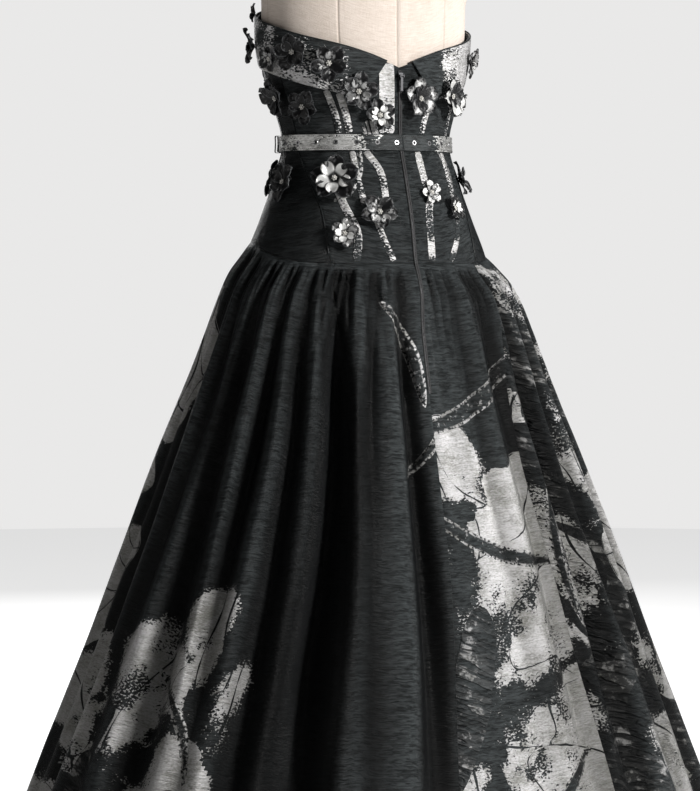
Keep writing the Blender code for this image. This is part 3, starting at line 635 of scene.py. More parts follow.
def set_cloth_data(mesh: Mesh, cloth: np.ndarray, layers: Sequence[np.ndarray]) -> None:
    """Gives a mesh its flat coordinates as a UV map, and the marks of its design.

    Args:
        mesh: The mesh.
        cloth: Flat coordinates of each point.
        layers: Marks of each point in each layer.
    """
    flat = cloth.reshape(-1, 2)
    corners = np.empty(len(mesh.loops), dtype=np.int32)
    mesh.loops.foreach_get("vertex_index", corners)
    uv = mesh.uv_layers.new(name="cloth")
    uv.data.foreach_set("uv", flat[corners].astype(np.float32).ravel())
    for number, marks in enumerate(layers):
        marks = marks.reshape(-1, 4).astype(np.float32)
        vector = mesh.attributes.new(f"marks_{number}", "FLOAT_VECTOR", "POINT")
        vector.data.foreach_set("vector", marks[:, :3].ravel())
        set_number(mesh, f"fade_{number}", marks[:, 3])


class Panel(NamedTuple):
    """A finished cloth piece and the size of its cut."""

    piece: Object
    width: float
    length: float
    area: float


def cloth_wall(
    name: str,
    outer: np.ndarray,
    inner: np.ndarray,
    material: Material,
    marker: Callable[[np.ndarray], list[np.ndarray]],
    closed: bool = False,
) -> Panel:
    """A closed cloth wall between two grids of points.

    Args:
        name: The piece's name.
        outer: Points of the outer face, rows going down.
        inner: Points of the inner face.
        material: Its cloth.
        marker: Gives the design's marks for flat coordinates.
        closed: Whether the last column meets the first.

    Returns:
        The piece and its cut.
    """
    rows, columns = outer.shape[:2]
    count = rows * columns
    faces = grid_faces(rows, columns, 0, closed, False) + grid_faces(rows, columns, count, closed, True)
    for c in range(columns if closed else columns - 1):
        n, last = (c + 1) % columns, (rows - 1) * columns
        faces.append((n, c, count + c, count + n))
        faces.append((last + c, last + n, count + last + n, count + last + c))
    for r in range(0 if closed else rows - 1):
        a, b, last = r * columns, (r + 1) * columns, columns - 1
        faces.append((a, b, count + b, count + a))
        faces.append((b + last, a + last, count + a + last, count + b + last))
    mesh = raw_mesh(name, np.concatenate([outer.reshape(-1, 3), inner.reshape(-1, 3)]), faces)
    cloth = cloth_coordinates(outer)
    layers = [np.concatenate([m.reshape(-1, 4)] * 2) for m in marker(cloth)]
    set_cloth_data(mesh, np.concatenate([cloth.reshape(-1, 2)] * 2), layers)
    mesh.materials.append(material)
    piece = new_object(name, smooth(mesh))
    width = float(np.ptp(cloth[..., 0], axis=1).max())
    length = float(cloth[-1, :, 1].max())
    side = np.linalg.norm(np.cross(np.diff(outer[:-1], axis=1), np.diff(outer, axis=0)[:, :-1]), axis=-1)
    return Panel(piece, width, length, float(side.sum()))


# A strip's weave: what is added to its share of silver, patches to the metre, their seed and their spread.
STRIP_SILVER, STRIP_PATCHES, STRIP_SEED, STRIP_SPREAD = 0.58, 110, 5, 0.18


def ribbon(
    name: str,
    centre: np.ndarray,
    outward: np.ndarray,
    width: float | np.ndarray,
    base: float,
    crown: float,
    material: Material,
    silver: float = -2.0,
    hollow: float = 6.0,
) -> Object:
    """A raised strip along a path on the gown, rounded across and thin at its ends.

    Args:
        name: The strip's name.
        centre: Points of its middle line.
        outward: Outward directions there.
        width: Its width, one for all or one for each point.
        base: Distance of its underside from the path.
        crown: Its thickness in the middle.
        material: Its cloth.
        silver: The share of silver in its weave, from -1 to 1.
        hollow: Curvature of what it lies on, per metre.

    Returns:
        The strip.
    """
    tangent = np.gradient(centre, axis=0)
    side = np.cross(outward, tangent)
    side /= np.linalg.norm(side, axis=-1, keepdims=True)
    x = np.linspace(-1, 1, 9)
    half = (np.broadcast_to(np.asarray(width, float), (len(centre),)) / 2)[:, None, None]
    over = half * x[None, :, None]
    fall = over**2 * hollow / 2
    round_off = np.sqrt(np.clip(1 - x**6, 0.06, 1))[None, :, None]
    flat = centre[:, None] + side[:, None] * over
    top = flat + outward[:, None] * (base + crown * round_off - fall)
    bottom = flat + outward[:, None] * (base - fall)
    ends = np.minimum(1.0, np.minimum(np.arange(len(centre)), np.arange(len(centre))[::-1]) / 2 + 0.2)
    top = bottom + (top - bottom) * ends[:, None, None]

    def marker(cloth: np.ndarray) -> list[np.ndarray]:
        """Fine silver patches."""
        return patch_marks(cloth, silver + STRIP_SILVER, STRIP_PATCHES, STRIP_SEED, STRIP_SPREAD)

    return cloth_wall(name, top[:, ::-1], bottom[:, ::-1], material, marker).piece


def tube(name: str, path: np.ndarray, radius: float, material: Material, sides: int = 8) -> Object:
    """A closed round tube along a path.

    Args:
        name: The tube's name.
        path: Its points.
        radius: Its radius.
        material: Its finish.
        sides: Faces round it.

    Returns:
        The tube.
    """
    tangent = np.gradient(path, axis=0)
    tangent /= np.linalg.norm(tangent, axis=-1, keepdims=True)
    up = np.array([0.0, 0.0, 1.0]) - tangent * tangent[:, 2:3]
    up /= np.linalg.norm(up, axis=-1, keepdims=True)
    side = np.cross(tangent, up)
    turn = np.linspace(0, 2 * math.pi, sides, endpoint=False)
    rings = path[:, None] + radius * (
        side[:, None] * np.cos(turn)[None, :, None] + up[:, None] * np.sin(turn)[None, :, None]
    )
    faces = grid_faces(len(path), sides, 0, True, True)
    faces.append(tuple(range(sides)))
    faces.append(tuple(range(len(path) * sides - 1, (len(path) - 1) * sides - 1, -1)))
    mesh = raw_mesh(name, rings, faces)
    mesh.materials.append(material)
    obj = new_object(name, mesh)
    face_outwards(obj)
    smooth(obj.data)
    return obj


def face_outwards(obj: Object) -> None:
    """Merges an object's doubles and turns its faces outwards.

    Args:
        obj: The object.
    """
    bm = bmesh.new()
    bm.from_mesh(obj.data)
    bmesh.ops.remove_doubles(bm, verts=bm.verts, dist=1e-6)
    bmesh.ops.recalc_face_normals(bm, faces=bm.faces)
    bm.to_mesh(obj.data)
    bm.free()


def joined(name: str, parts: Sequence[Object]) -> Object:
    """Joins objects into one.

    Args:
        name: The new object's name.
        parts: The objects.

    Returns:
        The new object.
    """
    keep = parts[0]
    with bpy.context.temp_override(active_object=keep, selected_editable_objects=list(parts)):
        bpy.ops.object.join()
    keep.name = keep.data.name = name
    return keep


# ---- Node drafting ----


class Draft:
    """Adds nodes to one tree and links them."""

    def __init__(self, tree: Tree) -> None:
        """Keeps the tree."""
        self.tree = tree

    def add(self, kind: str, inputs: Inputs | None = None, **settings: object) -> Node:
        """Adds a node.

        Args:
            kind: The node's type.
            inputs: Values or sockets for its inputs, by name or number.
            settings: The node's own settings.

        Returns:
            The node.
        """
        node = self.tree.nodes.new(kind)
        for name, value in settings.items():
            setattr(node, name, value)
        for name, value in (inputs or {}).items():
            self.put(node.inputs[name], value)
        return node

    def put(self, socket: Socket, value: object) -> None:
        """Links a socket to an input, or sets the input's own value."""
        if isinstance(value, Socket):
            self.tree.links.new(value, socket)
        else:
            socket.default_value = value

    def math(self, operation: str, a: object, b: object = 0.0, c: object = 0.0, clamp: bool = False) -> Socket:
        """A sum or other operation on numbers.

        Args:
            operation: The Math node's operation.
            a: First number.
            b: Second number.
            c: Third number.
            clamp: Whether the result stays between 0 and 1.

        Returns:
            The result's socket.
        """
        numbers = {0: a, 1: b, 2: c}
        return self.add("ShaderNodeMath", numbers, operation=operation, use_clamp=clamp).outputs[0]

    def step(self, value: object, low: object, high: object) -> Socket:
        """A smooth step from 0 where the value is low to 1 where it is high."""
        inputs = {"Value": value, "From Min": low, "From Max": high}
        return self.add("ShaderNodeMapRange", inputs, interpolation_type="SMOOTHSTEP").outputs[0]

    def mix(self, factor: object, a: object, b: object) -> Socket:
        """A mix of two colours."""
        return self.add("ShaderNodeMix", {0: factor, 6: a, 7: b}, data_type="RGBA").outputs[2]

    def mix_number(self, factor: object, a: object, b: object) -> Socket:
        """A mix of two numbers."""
        return self.math("MULTIPLY_ADD", factor, self.math("SUBTRACT", b, a), a)

    def stretch(self, vector: object, scale: tuple[float, float, float]) -> Socket:
        """A vector with each part multiplied by its own scale."""
        return self.add("ShaderNodeVectorMath", {0: vector, 1: scale}, operation="MULTIPLY").outputs[0]

    def noise(
        self, vector: object, scale: float, detail: float = 2.0, rough: float = 0.5, bend: float = 0.0
    ) -> Socket:
        """Noise from 0 to 1.

        Args:
            vector: Where it is read.
            scale: Bumps to the metre.
            detail: Finer layers.
            rough: Strength of the finer layers.
            bend: How far it is bent by itself.

        Returns:
            The noise's socket.
        """
        inputs = {"Vector": vector, "Scale": scale, "Detail": detail, "Roughness": rough, "Distortion": bend}
        return self.add("ShaderNodeTexNoise", inputs).outputs[0]


class Port(NamedTuple):
    """A named socket of a node group."""

    name: str
    kind: str = "Float"


def shader_group(
    name: str, takes: Sequence[Port], gives: Sequence[Port], build: Callable[[Draft, dict], dict]
) -> Tree:
    """Makes a shader node group.

    Args:
        name: The group's name.
        takes: Its inputs.
        gives: Its outputs.
        build: Adds the nodes, given the draft and the inputs' sockets, and returns the outputs'.

    Returns:
        The group.
    """
    tree = bpy.data.node_groups.new(name, "ShaderNodeTree")
    for in_out, ports in (("INPUT", takes), ("OUTPUT", gives)):
        for port in ports:
            tree.interface.new_socket(name=port.name, in_out=in_out, socket_type=f"NodeSocket{port.kind}")
    draft = Draft(tree)
    inside, outside = draft.add("NodeGroupInput"), draft.add("NodeGroupOutput")
    results = build(draft, {port.name: inside.outputs[port.name] for port in takes})
    for key, socket in results.items():
        draft.put(outside.inputs[key], socket)
    return tree


def build_crinkle(draft: Draft, given: dict) -> dict:
    """Fine wavy ribs across the cloth, and its weave.

    Args:
        draft: The group's draft.
        given: The sockets of its inputs, by name.

    Returns:
        The sockets of its outputs, by name.
    """
    where = given["Vector"]
    ribs = draft.noise(draft.stretch(where, (64.0, 360.0, 1.0)), 1.0, 3.0, 0.62, 0.8)
    broad = draft.noise(draft.stretch(where, (18.0, 110.0, 1.0)), 1.0, 2.0, 0.5, 0.6)
    weave = draft.add("ShaderNodeTexWave", {"Vector": where, "Scale": 420.0, "Distortion": 0.6}).outputs[1]
    height = draft.math("MULTIPLY_ADD", ribs, 0.62, draft.math("MULTIPLY", broad, 0.32))
    height = draft.math("MULTIPLY_ADD", weave, 0.05, height)
    # Painted highlight: the tone follows the ribs' height, so the raised ribs are coloured lighter.
    tone = draft.step(draft.math("MULTIPLY_ADD", broad, 0.35, ribs), 0.48, 0.88)
    return {"Height": height, "Tone": tone}


def build_speckle(draft: Draft, given: dict) -> dict:
    """Cover that breaks up into woven specks where it is partial.

    Args:
        draft: The group's draft.
        given: The sockets of its inputs, by name.

    Returns:
        The sockets of its outputs, by name.
    """
    where = given["Vector"]
    specks = draft.noise(draft.stretch(where, (215.0, 350.0, 1.0)), 1.0, 1.5, 0.6)
    clouds = draft.noise(where, 38.0, 3.0, 0.6)
    grain = draft.math("MULTIPLY_ADD", specks, 2.3, draft.math("MULTIPLY", clouds, 0.6))
    grain = draft.math("SUBTRACT", grain, 0.95)
    over = draft.math("SUBTRACT", given["Cover"], grain)
    return {"Mask": draft.step(over, -0.12, 0.12)}


def build_motif_layer(draft: Draft, given: dict) -> dict:
    """One layer of the woven design, from its marks.

    Args:
        draft: The group's draft.
        given: The sockets of its inputs, by name.

    Returns:
        The sockets of its outputs, by name.
    """
    parts = draft.add("ShaderNodeSeparateXYZ", {0: given["Marks"]})
    edge, rib, yarn = parts.outputs[0], parts.outputs[1], parts.outputs[2]
    where = given["Vector"]
    soft = draft.math("MULTIPLY_ADD", given["Fade"], 70.0, 0.7)
    patch = draft.step(draft.noise(where, 15.0, 3.0, 0.6), 0.38, 0.60)
    patch = draft.math("MULTIPLY", patch, draft.step(given["Fade"], 0.1, 0.7))
    cover = draft.math("DIVIDE", edge, soft, clamp=True)
    cover = draft.math("MULTIPLY_ADD", patch, -1.0, draft.math("MULTIPLY_ADD", cover, 1.35, -0.06))
    speckle = draft.add("ShaderNodeGroup", node_tree=bpy.data.node_groups["speckle"])
    draft.put(speckle.inputs["Vector"], where)
    draft.put(speckle.inputs["Cover"], cover)
    crisp = draft.step(given["Fade"], 0.45, 0.05)
    rough = draft.noise(where, 21.0, 2.0)
    outline = draft.math("MULTIPLY", draft.step(edge, 4.4, 3.0), draft.step(edge, 0.8, 1.8))
    outline = draft.math("MULTIPLY", outline, draft.math("MULTIPLY", crisp, draft.step(rough, 0.44, 0.52)))
    line = draft.math("MULTIPLY_ADD", rough, 7.0, -2.6)
    vein = draft.step(draft.math("ABSOLUTE", rib), draft.math("ADD", line, 0.7), line)
    dark = draft.math("MAXIMUM", outline, vein)
    silver = draft.math("MULTIPLY", speckle.outputs["Mask"], draft.math("SUBTRACT", 1.0, dark))
    slant = {"Vector": where, "Rotation": (0.0, 0.0, -0.4), "Scale": (0.045, 0.0082, 1.0)}
    ribs = draft.noise(draft.add("ShaderNodeMapping", slant, vector_type="TEXTURE").outputs[0], 1.0, 2.0, 0.5, 0.7)
    ribs = draft.step(ribs, 0.40, 0.60)
    cord = draft.math("COMPARE", yarn, float(Yarn.CORD.value), 49.0)
    ribbed = draft.math("COMPARE", yarn, float(Yarn.RIBBED.value), 49.0)
    fleck = draft.step(draft.noise(where, 210.0, 2.0), 0.42, 0.54)
    sparse = draft.math("MULTIPLY", draft.step(draft.noise(where, 120.0, 3.0, 0.7), 0.56, 0.66), 0.6)
    rim = draft.math("MULTIPLY", draft.math("MAXIMUM", draft.step(edge, 5.0, 2.6), sparse), fleck)
    silver = draft.mix_number(cord, silver, rim)
    glints = draft.math("MULTIPLY", ribs, draft.step(draft.noise(where, 26.0, 4.0, 0.75), 0.52, 0.62))
    glints = draft.math("MULTIPLY_ADD", glints, 0.55, draft.math("MULTIPLY", ribs, 0.05))
    silver = draft.mix_number(ribbed, silver, glints)
    swell = draft.math("MULTIPLY", draft.step(edge, 0.0, 5.0), 2.2)
    relief = draft.mix_number(cord, silver, swell)
    relief = draft.mix_number(ribbed, relief, draft.math("MULTIPLY", ribs, 2.6))
    inside = draft.step(edge, -0.4, 0.4)
    return {"Inside": inside, "Silver": silver, "Relief": draft.math("MULTIPLY", relief, inside)}


def build_linen(draft: Draft, given: dict) -> dict:
    """Plain linen: crossed threads of uneven thickness.

    Args:
        draft: The group's draft.
        given: The sockets of its inputs, by name.

    Returns:
        The sockets of its outputs, by name.
    """
    where = given["Vector"]
    warp = draft.noise(draft.stretch(where, (1500.0, 60.0, 1.0)), 1.0, 2.0)
    weft = draft.noise(draft.stretch(where, (60.0, 1500.0, 1.0)), 1.0, 2.0)
    slubs = draft.noise(draft.stretch(where, (60.0, 520.0, 1.0)), 1.0, 3.0, 0.6)
    height = draft.math("ADD", warp, weft)
    tone = draft.math("MULTIPLY_ADD", slubs, 0.6, draft.math("MULTIPLY", height, 0.3))
    return {"Height": height, "Tone": tone}


def build_wear(draft: Draft, given: dict) -> dict:
    """Uneven dullness of handled metal.

    Args:
        draft: The group's draft.
        given: The sockets of its inputs, by name.

    Returns:
        The sockets of its outputs, by name.
    """
    clouds = draft.noise(given["Vector"], 130.0, 4.0, 0.6)
    scratches = draft.noise(draft.stretch(given["Vector"], (900.0, 90.0, 900.0)), 1.0, 2.0)
    return {"Dullness": draft.math("MULTIPLY_ADD", clouds, 0.7, draft.math("MULTIPLY", scratches, 0.3))}


def make_groups() -> None:
    """Makes the shader node groups that the finishes share."""
    vector = Port("Vector", "Vector")
    shader_group("crinkle", [vector], [Port("Height"), Port("Tone")], build_crinkle)
    shader_group("speckle", [vector, Port("Cover")], [Port("Mask")], build_speckle)
    takes = [vector, Port("Marks", "Vector"), Port("Fade")]
    shader_group("motif_layer", takes, [Port("Inside"), Port("Silver"), Port("Relief")], build_motif_layer)
    shader_group("linen", [vector], [Port("Height"), Port("Tone")], build_linen)
    shader_group("wear", [vector], [Port("Dullness")], build_wear)


Color = tuple[float, float, float, float]


def rgb(red: float, green: float, blue: float) -> Color:
    """An opaque colour."""
    return (red, green, blue, 1.0)


@dataclass(frozen=True)
class Finish:
    """A finish's name and its shader's plain numbers."""

    name: str
    roughness: float = 0.5
    metallic: float = 0.0
    sheen: float = 0.0
    sheen_tint: Color = (1.0, 1.0, 1.0, 1.0)
    specular: float = 0.5

    def start(self) -> tuple[Material, Draft, Node]:
        """Makes the material with its Principled shader.

        Returns:
            The material, its draft and the shader.
        """
        material = bpy.data.materials.new(self.name)
        material.use_nodes = True
        shader = material.node_tree.nodes["Principled BSDF"]
        shader.inputs["Roughness"].default_value = self.roughness
        shader.inputs["Metallic"].default_value = self.metallic
        shader.inputs["Sheen Weight"].default_value = self.sheen
        shader.inputs["Sheen Tint"].default_value = self.sheen_tint
        shader.inputs["Specular IOR Level"].default_value = self.specular
        return material, Draft(material.node_tree), shader

    def use(self, draft: Draft, group: str, vector: object) -> Node:
        """Places a shared group that reads a vector.

        Args:
            draft: The material's draft.
            group: The group's name.
            vector: Where the group is read.

        Returns:
            The group's node.
        """
        node = draft.add("ShaderNodeGroup", node_tree=bpy.data.node_groups[group])
        draft.put(node.inputs["Vector"], vector)
        return node

    def bump(self, draft: Draft, shader: Node, height: object, depth: float, strength: float = 1.0) -> None:
        """Feeds a height to the shader's normal."""
        inputs = {"Height": height, "Distance": depth, "Strength": strength}
        draft.put(shader.inputs["Normal"], draft.add("ShaderNodeBump", inputs).outputs[0])


@dataclass(frozen=True)
class Jacquard(Finish):
    """Crinkled jacquard: a dark ground with a woven silver design."""

    ground: Color = (0.0088, 0.0104, 0.0108, 1.0)
    # Painted highlight: the lighter colour laid on the crinkle's raised ribs.
    ridge_highlight: Color = (0.0540, 0.0610, 0.0635, 1.0)
    # Painted shade: near-black laid into the fold valleys, by each point's valley number.
    valley: Color = (0.0006, 0.0007, 0.0007, 1.0)
    silver: Color = (0.87, 0.86, 0.875, 1.0)
    silver_shade: Color = (0.26, 0.26, 0.235, 1.0)
    # Painted shade: the dull grey that the silver takes in the same valleys.
    silver_valley_shade: Color = (0.10, 0.10, 0.088, 1.0)
    crinkle: float = 1.0

    def build(self) -> Material:
        """Makes the cloth's material.

        Returns:
            The material.
        """
        material, draft, shader = self.start()
        flat = draft.add("ShaderNodeUVMap", uv_map="cloth").outputs[0]
        crinkle = self.use(draft, "crinkle", flat)
        silver: object = 0.0
        relief: object = 0.0
        for number in range(LAYERS):
            marks = draft.add("ShaderNodeAttribute", attribute_name=f"marks_{number}").outputs["Vector"]
            fade = draft.add("ShaderNodeAttribute", attribute_name=f"fade_{number}").outputs["Fac"]
            layer = self.use(draft, "motif_layer", flat)
            draft.put(layer.inputs["Marks"], marks)
            draft.put(layer.inputs["Fade"], fade)
            silver = draft.mix_number(layer.outputs["Inside"], silver, layer.outputs["Silver"])
            relief = draft.math("MAXIMUM", relief, layer.outputs["Relief"])
        tone = crinkle.outputs["Tone"]
        # Painted shade: each point's valley number darkens the ground towards near-black and the silver towards dull
        # grey.
        deep = draft.add("ShaderNodeAttribute", attribute_name="valley").outputs["Fac"]
        ground = draft.mix(draft.math("MULTIPLY", deep, 0.94), draft.mix(tone, self.ground, self.ridge_highlight), self.valley)
        clouds = draft.noise(flat, 17.0, 4.0, 0.62)
        grain = draft.noise(draft.stretch(flat, (240.0, 520.0, 1.0)), 1.0, 2.0)
        shade = draft.math("MULTIPLY_ADD", grain, 0.5, draft.math("MULTIPLY", clouds, 0.8))
        # The crinkle's tone also lightens the silver a little on the raised ribs, a painted highlight.
        shade = draft.step(draft.math("MULTIPLY_ADD", tone, 0.16, shade), 0.42, 0.94)
        bright = draft.mix(shade, self.silver_shade, self.silver)
        bright = draft.mix(draft.math("MULTIPLY", deep, 0.7), bright, self.silver_valley_shade)
        draft.put(shader.inputs["Base Color"], draft.mix(silver, ground, bright))
        draft.put(shader.inputs["Metallic"], draft.math("MULTIPLY", silver, 0.8))
        dull = draft.math("MULTIPLY_ADD", clouds, 0.16, self.roughness - 0.08)
        draft.put(shader.inputs["Roughness"], draft.math("MULTIPLY_ADD", silver, 0.08, dull))
        height = draft.math("MULTIPLY_ADD", relief, 0.5, crinkle.outputs["Height"])
        self.bump(draft, shader, height, 3.6 * MM * self.crinkle)
        return material


@dataclass(frozen=True)
class PetalCloth(Finish):
    """Crisp cut petals, paler and frayed at their edges."""

    middle: Color = (0.006, 0.006, 0.007, 1.0)
    edge: Color = (0.10, 0.10, 0.105, 1.0)
    rim: Color = (0.11, 0.115, 0.12, 1.0)
    blotch: float = 0.66
    pale_rim: float = 0.6

    def build(self) -> Material:
        """Makes the petals' material.

        Returns:
            The material.
        """
        material, draft, shader = self.start()
        flat = draft.add("ShaderNodeUVMap", uv_map="cloth").outputs[0]
        crinkle = self.use(draft, "crinkle", draft.stretch(flat, (2.0, 2.0, 1.0)))
        reach = draft.add("ShaderNodeSeparateXYZ", {0: flat}).outputs[1]
        fray = draft.noise(flat, 900.0, 2.0)
        inside = draft.add("ShaderNodeAttribute", attribute_name="rim").outputs["Fac"]
        inside = draft.math("MULTIPLY_ADD", fray, 0.16, inside)
        clouds = draft.math("MULTIPLY_ADD", fray, 0.2, draft.noise(flat, 75.0, 2.0, 0.6))
        clouds = draft.step(clouds, self.blotch, self.blotch + 0.06)
        shine = draft.math("MULTIPLY", clouds, draft.step(inside, 0.12, 0.26))
        shine = draft.math("MULTIPLY", shine, draft.step(reach, 0.006, 0.011))
        cut = draft.math("MULTIPLY", draft.step(inside, 0.26, 0.12), self.pale_rim)
        color = draft.mix(cut, draft.mix(shine, self.middle, self.edge), self.rim)
        draft.put(shader.inputs["Metallic"], draft.math("MULTIPLY", shine, 0.4))
        draft.put(shader.inputs["Base Color"], color)
        self.bump(draft, shader, crinkle.outputs["Height"], 0.5 * MM)
        return material


@dataclass(frozen=True)
class Metal(Finish):
    """Plated or painted metal with handling marks."""

    color: Color = (0.6, 0.6, 0.6, 1.0)

    def build(self) -> Material:
        """Makes the metal's material.

        Returns:
            The material.
        """
        material, draft, shader = self.start()
        where = draft.add("ShaderNodeTexCoord").outputs["Object"]
        wear = self.use(draft, "wear", where).outputs["Dullness"]
        dark = tuple(0.72 * c for c in self.color[:3]) + (1.0,)
        draft.put(shader.inputs["Base Color"], draft.mix(wear, self.color, dark))
        draft.put(shader.inputs["Roughness"], draft.math("MULTIPLY_ADD", wear, 0.22, self.roughness - 0.1))
        self.bump(draft, shader, wear, 0.05 * MM, 0.6)
        return material


@dataclass(frozen=True)
class Linen(Finish):
    """The form's linen cover, with its seams pressed in."""

    light: Color = (0.84, 0.745, 0.675, 1.0)
    dark: Color = (0.62, 0.52, 0.44, 1.0)

    def build(self) -> Material:
        """Makes the linen's material.

        Returns:
            The material.
        """
        material, draft, shader = self.start()
        flat = draft.add("ShaderNodeUVMap", uv_map="cloth").outputs[0]
        weave = self.use(draft, "linen", flat)
        seam = draft.add("ShaderNodeAttribute", attribute_name="seam").outputs["Fac"]
        seam = draft.math("ABSOLUTE", seam)
        line = draft.step(seam, 1.7, 0.5)
        stains = draft.noise(flat, 9.0, 3.0, 0.6)
        tone = draft.math("MULTIPLY_ADD", stains, 0.35, draft.math("MULTIPLY", weave.outputs["Tone"], 0.75))
        color = draft.mix(draft.step(tone, 0.45, 0.85), self.light, self.dark)
        draft.put(shader.inputs["Base Color"], draft.mix(draft.math("MULTIPLY", line, 0.7), color, self.dark))
        press = draft.math("MULTIPLY", draft.step(seam, 3.2, 0.0), -2.2)
        self.bump(draft, shader, draft.math("ADD", weave.outputs["Height"], press), 0.35 * MM)
        return material


@dataclass(frozen=True)
class Plain(Finish):
    """A plain finish with slight unevenness: tape, thread, stones or the floor."""

    color: Color = (0.5, 0.5, 0.5, 1.0)
    change: float = 0.15
    grain: float = 400.0
    depth: float = 0.1 * MM

    def build(self) -> Material:
        """Makes the material.

        Returns:
            The material.
        """
        material, draft, shader = self.start()
        where = draft.add("ShaderNodeTexCoord").outputs["Object"]
        grain = draft.noise(where, self.grain, 3.0, 0.6)
        dark = tuple((1 - self.change) * c for c in self.color[:3]) + (1.0,)
        draft.put(shader.inputs["Base Color"], draft.mix(grain, self.color, dark))
        self.bump(draft, shader, grain, self.depth, 0.5)
        return material


CLOTH = Jacquard("black_jacquard", 0.38, sheen=0.01, sheen_tint=rgb(0.75, 0.85, 1.0), specular=0.14)
BAND = Jacquard("band_jacquard", 0.38, sheen=0.01, specular=0.14, crinkle=0.7)
BRIGHT, DULL = rgb(0.96, 0.96, 0.95), rgb(0.16, 0.16, 0.145)
STRAP = Jacquard("belt_jacquard", 0.36, specular=0.14, crinkle=0.35, silver=BRIGHT, silver_shade=DULL)
PETALS = {
    "black": PetalCloth("black_petals", 0.36, specular=0.4),
    "grey": PetalCloth("grey_petals", 0.38, edge=rgb(0.42, 0.42, 0.42), blotch=0.54),
    "silver": PetalCloth("silver_petals", 0.40, edge=rgb(0.86, 0.86, 0.85), blotch=0.40, pale_rim=0.0),
}
STEEL = Metal("eyelet_steel", 0.34, 1.0, color=rgb(0.42, 0.42, 0.43))
DARK_METAL = Metal("dark_metal", 0.38, 0.9, color=rgb(0.05, 0.05, 0.053))
STONE = Plain("crystal", 0.12, 0.15, specular=0.9, color=rgb(0.95, 0.93, 0.88), change=0.3)
TAPE = Plain("zip_tape", 0.7, color=rgb(0.012, 0.012, 0.013), grain=1800.0)
THREAD = Plain("black_thread", 0.55, color=rgb(0.03, 0.03, 0.032), grain=2500.0)
LINEN = Linen("form_linen", 0.85, sheen=0.15)
FLOOR = Plain("pale_floor", 0.6, color=rgb(0.80, 0.80, 0.80), change=0.04, grain=3.0, depth=0.0)


@dataclass
class Finishes:
    """Every material of the scene, made once."""

    cloth: Material = field(default_factory=CLOTH.build)
    band: Material = field(default_factory=BAND.build)
    strap: Material = field(default_factory=STRAP.build)
    petals: dict[str, Material] = field(default_factory=lambda: {key: cloth.build() for key, cloth in PETALS.items()})
    steel: Material = field(default_factory=STEEL.build)
    dark_metal: Material = field(default_factory=DARK_METAL.build)
    stone: Material = field(default_factory=STONE.build)
    tape: Material = field(default_factory=TAPE.build)
    thread: Material = field(default_factory=THREAD.build)
    linen: Material = field(default_factory=LINEN.build)
    floor: Material = field(default_factory=FLOOR.build)

    def __post_init__(self) -> None:
        """Makes the floor glow a little for the camera alone."""
        draft = Draft(self.floor.node_tree)
        glow = self.floor.node_tree.nodes["Principled BSDF"].inputs
        glow["Emission Color"].default_value = rgb(1.0, 1.0, 1.0)
        seen = draft.add("ShaderNodeLightPath").outputs["Is Camera Ray"]
        draft.put(glow["Emission Strength"], draft.math("MULTIPLY", seen, 0.66))


# ---- Repeats ----


def geometry_tree(name: str, takes: Sequence[Port]) -> tuple[Tree, Draft, Node, Node]:
    """Starts a Geometry Nodes tree that takes and gives geometry.

    Args:
        name: The tree's name.
        takes: Its other inputs.

    Returns:
        The tree, its draft, its input node and its output node.
    """
    tree = bpy.data.node_groups.new(name, "GeometryNodeTree")
    tree.interface.new_socket(name="Geometry", in_out="INPUT", socket_type="NodeSocketGeometry")
    tree.interface.new_socket(name="Geometry", in_out="OUTPUT", socket_type="NodeSocketGeometry")
    for port in takes:
        tree.interface.new_socket(name=port.name, in_out="INPUT", socket_type=f"NodeSocket{port.kind}")
    draft = Draft(tree)
    return tree, draft, draft.add("NodeGroupInput"), draft.add("NodeGroupOutput")


def realized(obj: Object, tree: Tree, values: Inputs) -> Object:
    """Runs a Geometry Nodes tree on an object and keeps the result as its plain mesh.

    Args:
        obj: The object.
        tree: The tree.
        values: The tree's inputs, by name.

    Returns:
        The same object.
    """
    modifier = obj.modifiers.new(tree.name, "NODES")
    modifier.node_group = tree
    for item in tree.interface.items_tree:
        if item.item_type == "SOCKET" and item.in_out == "INPUT" and item.name in values:
            modifier[item.identifier] = values[item.name]
    graph = bpy.context.evaluated_depsgraph_get()
    mesh = bpy.data.meshes.new_from_object(obj.evaluated_get(graph), preserve_all_data_layers=True, depsgraph=graph)
    obj.modifiers.clear()
    obj.data = mesh
    mesh.name = obj.name
    return obj


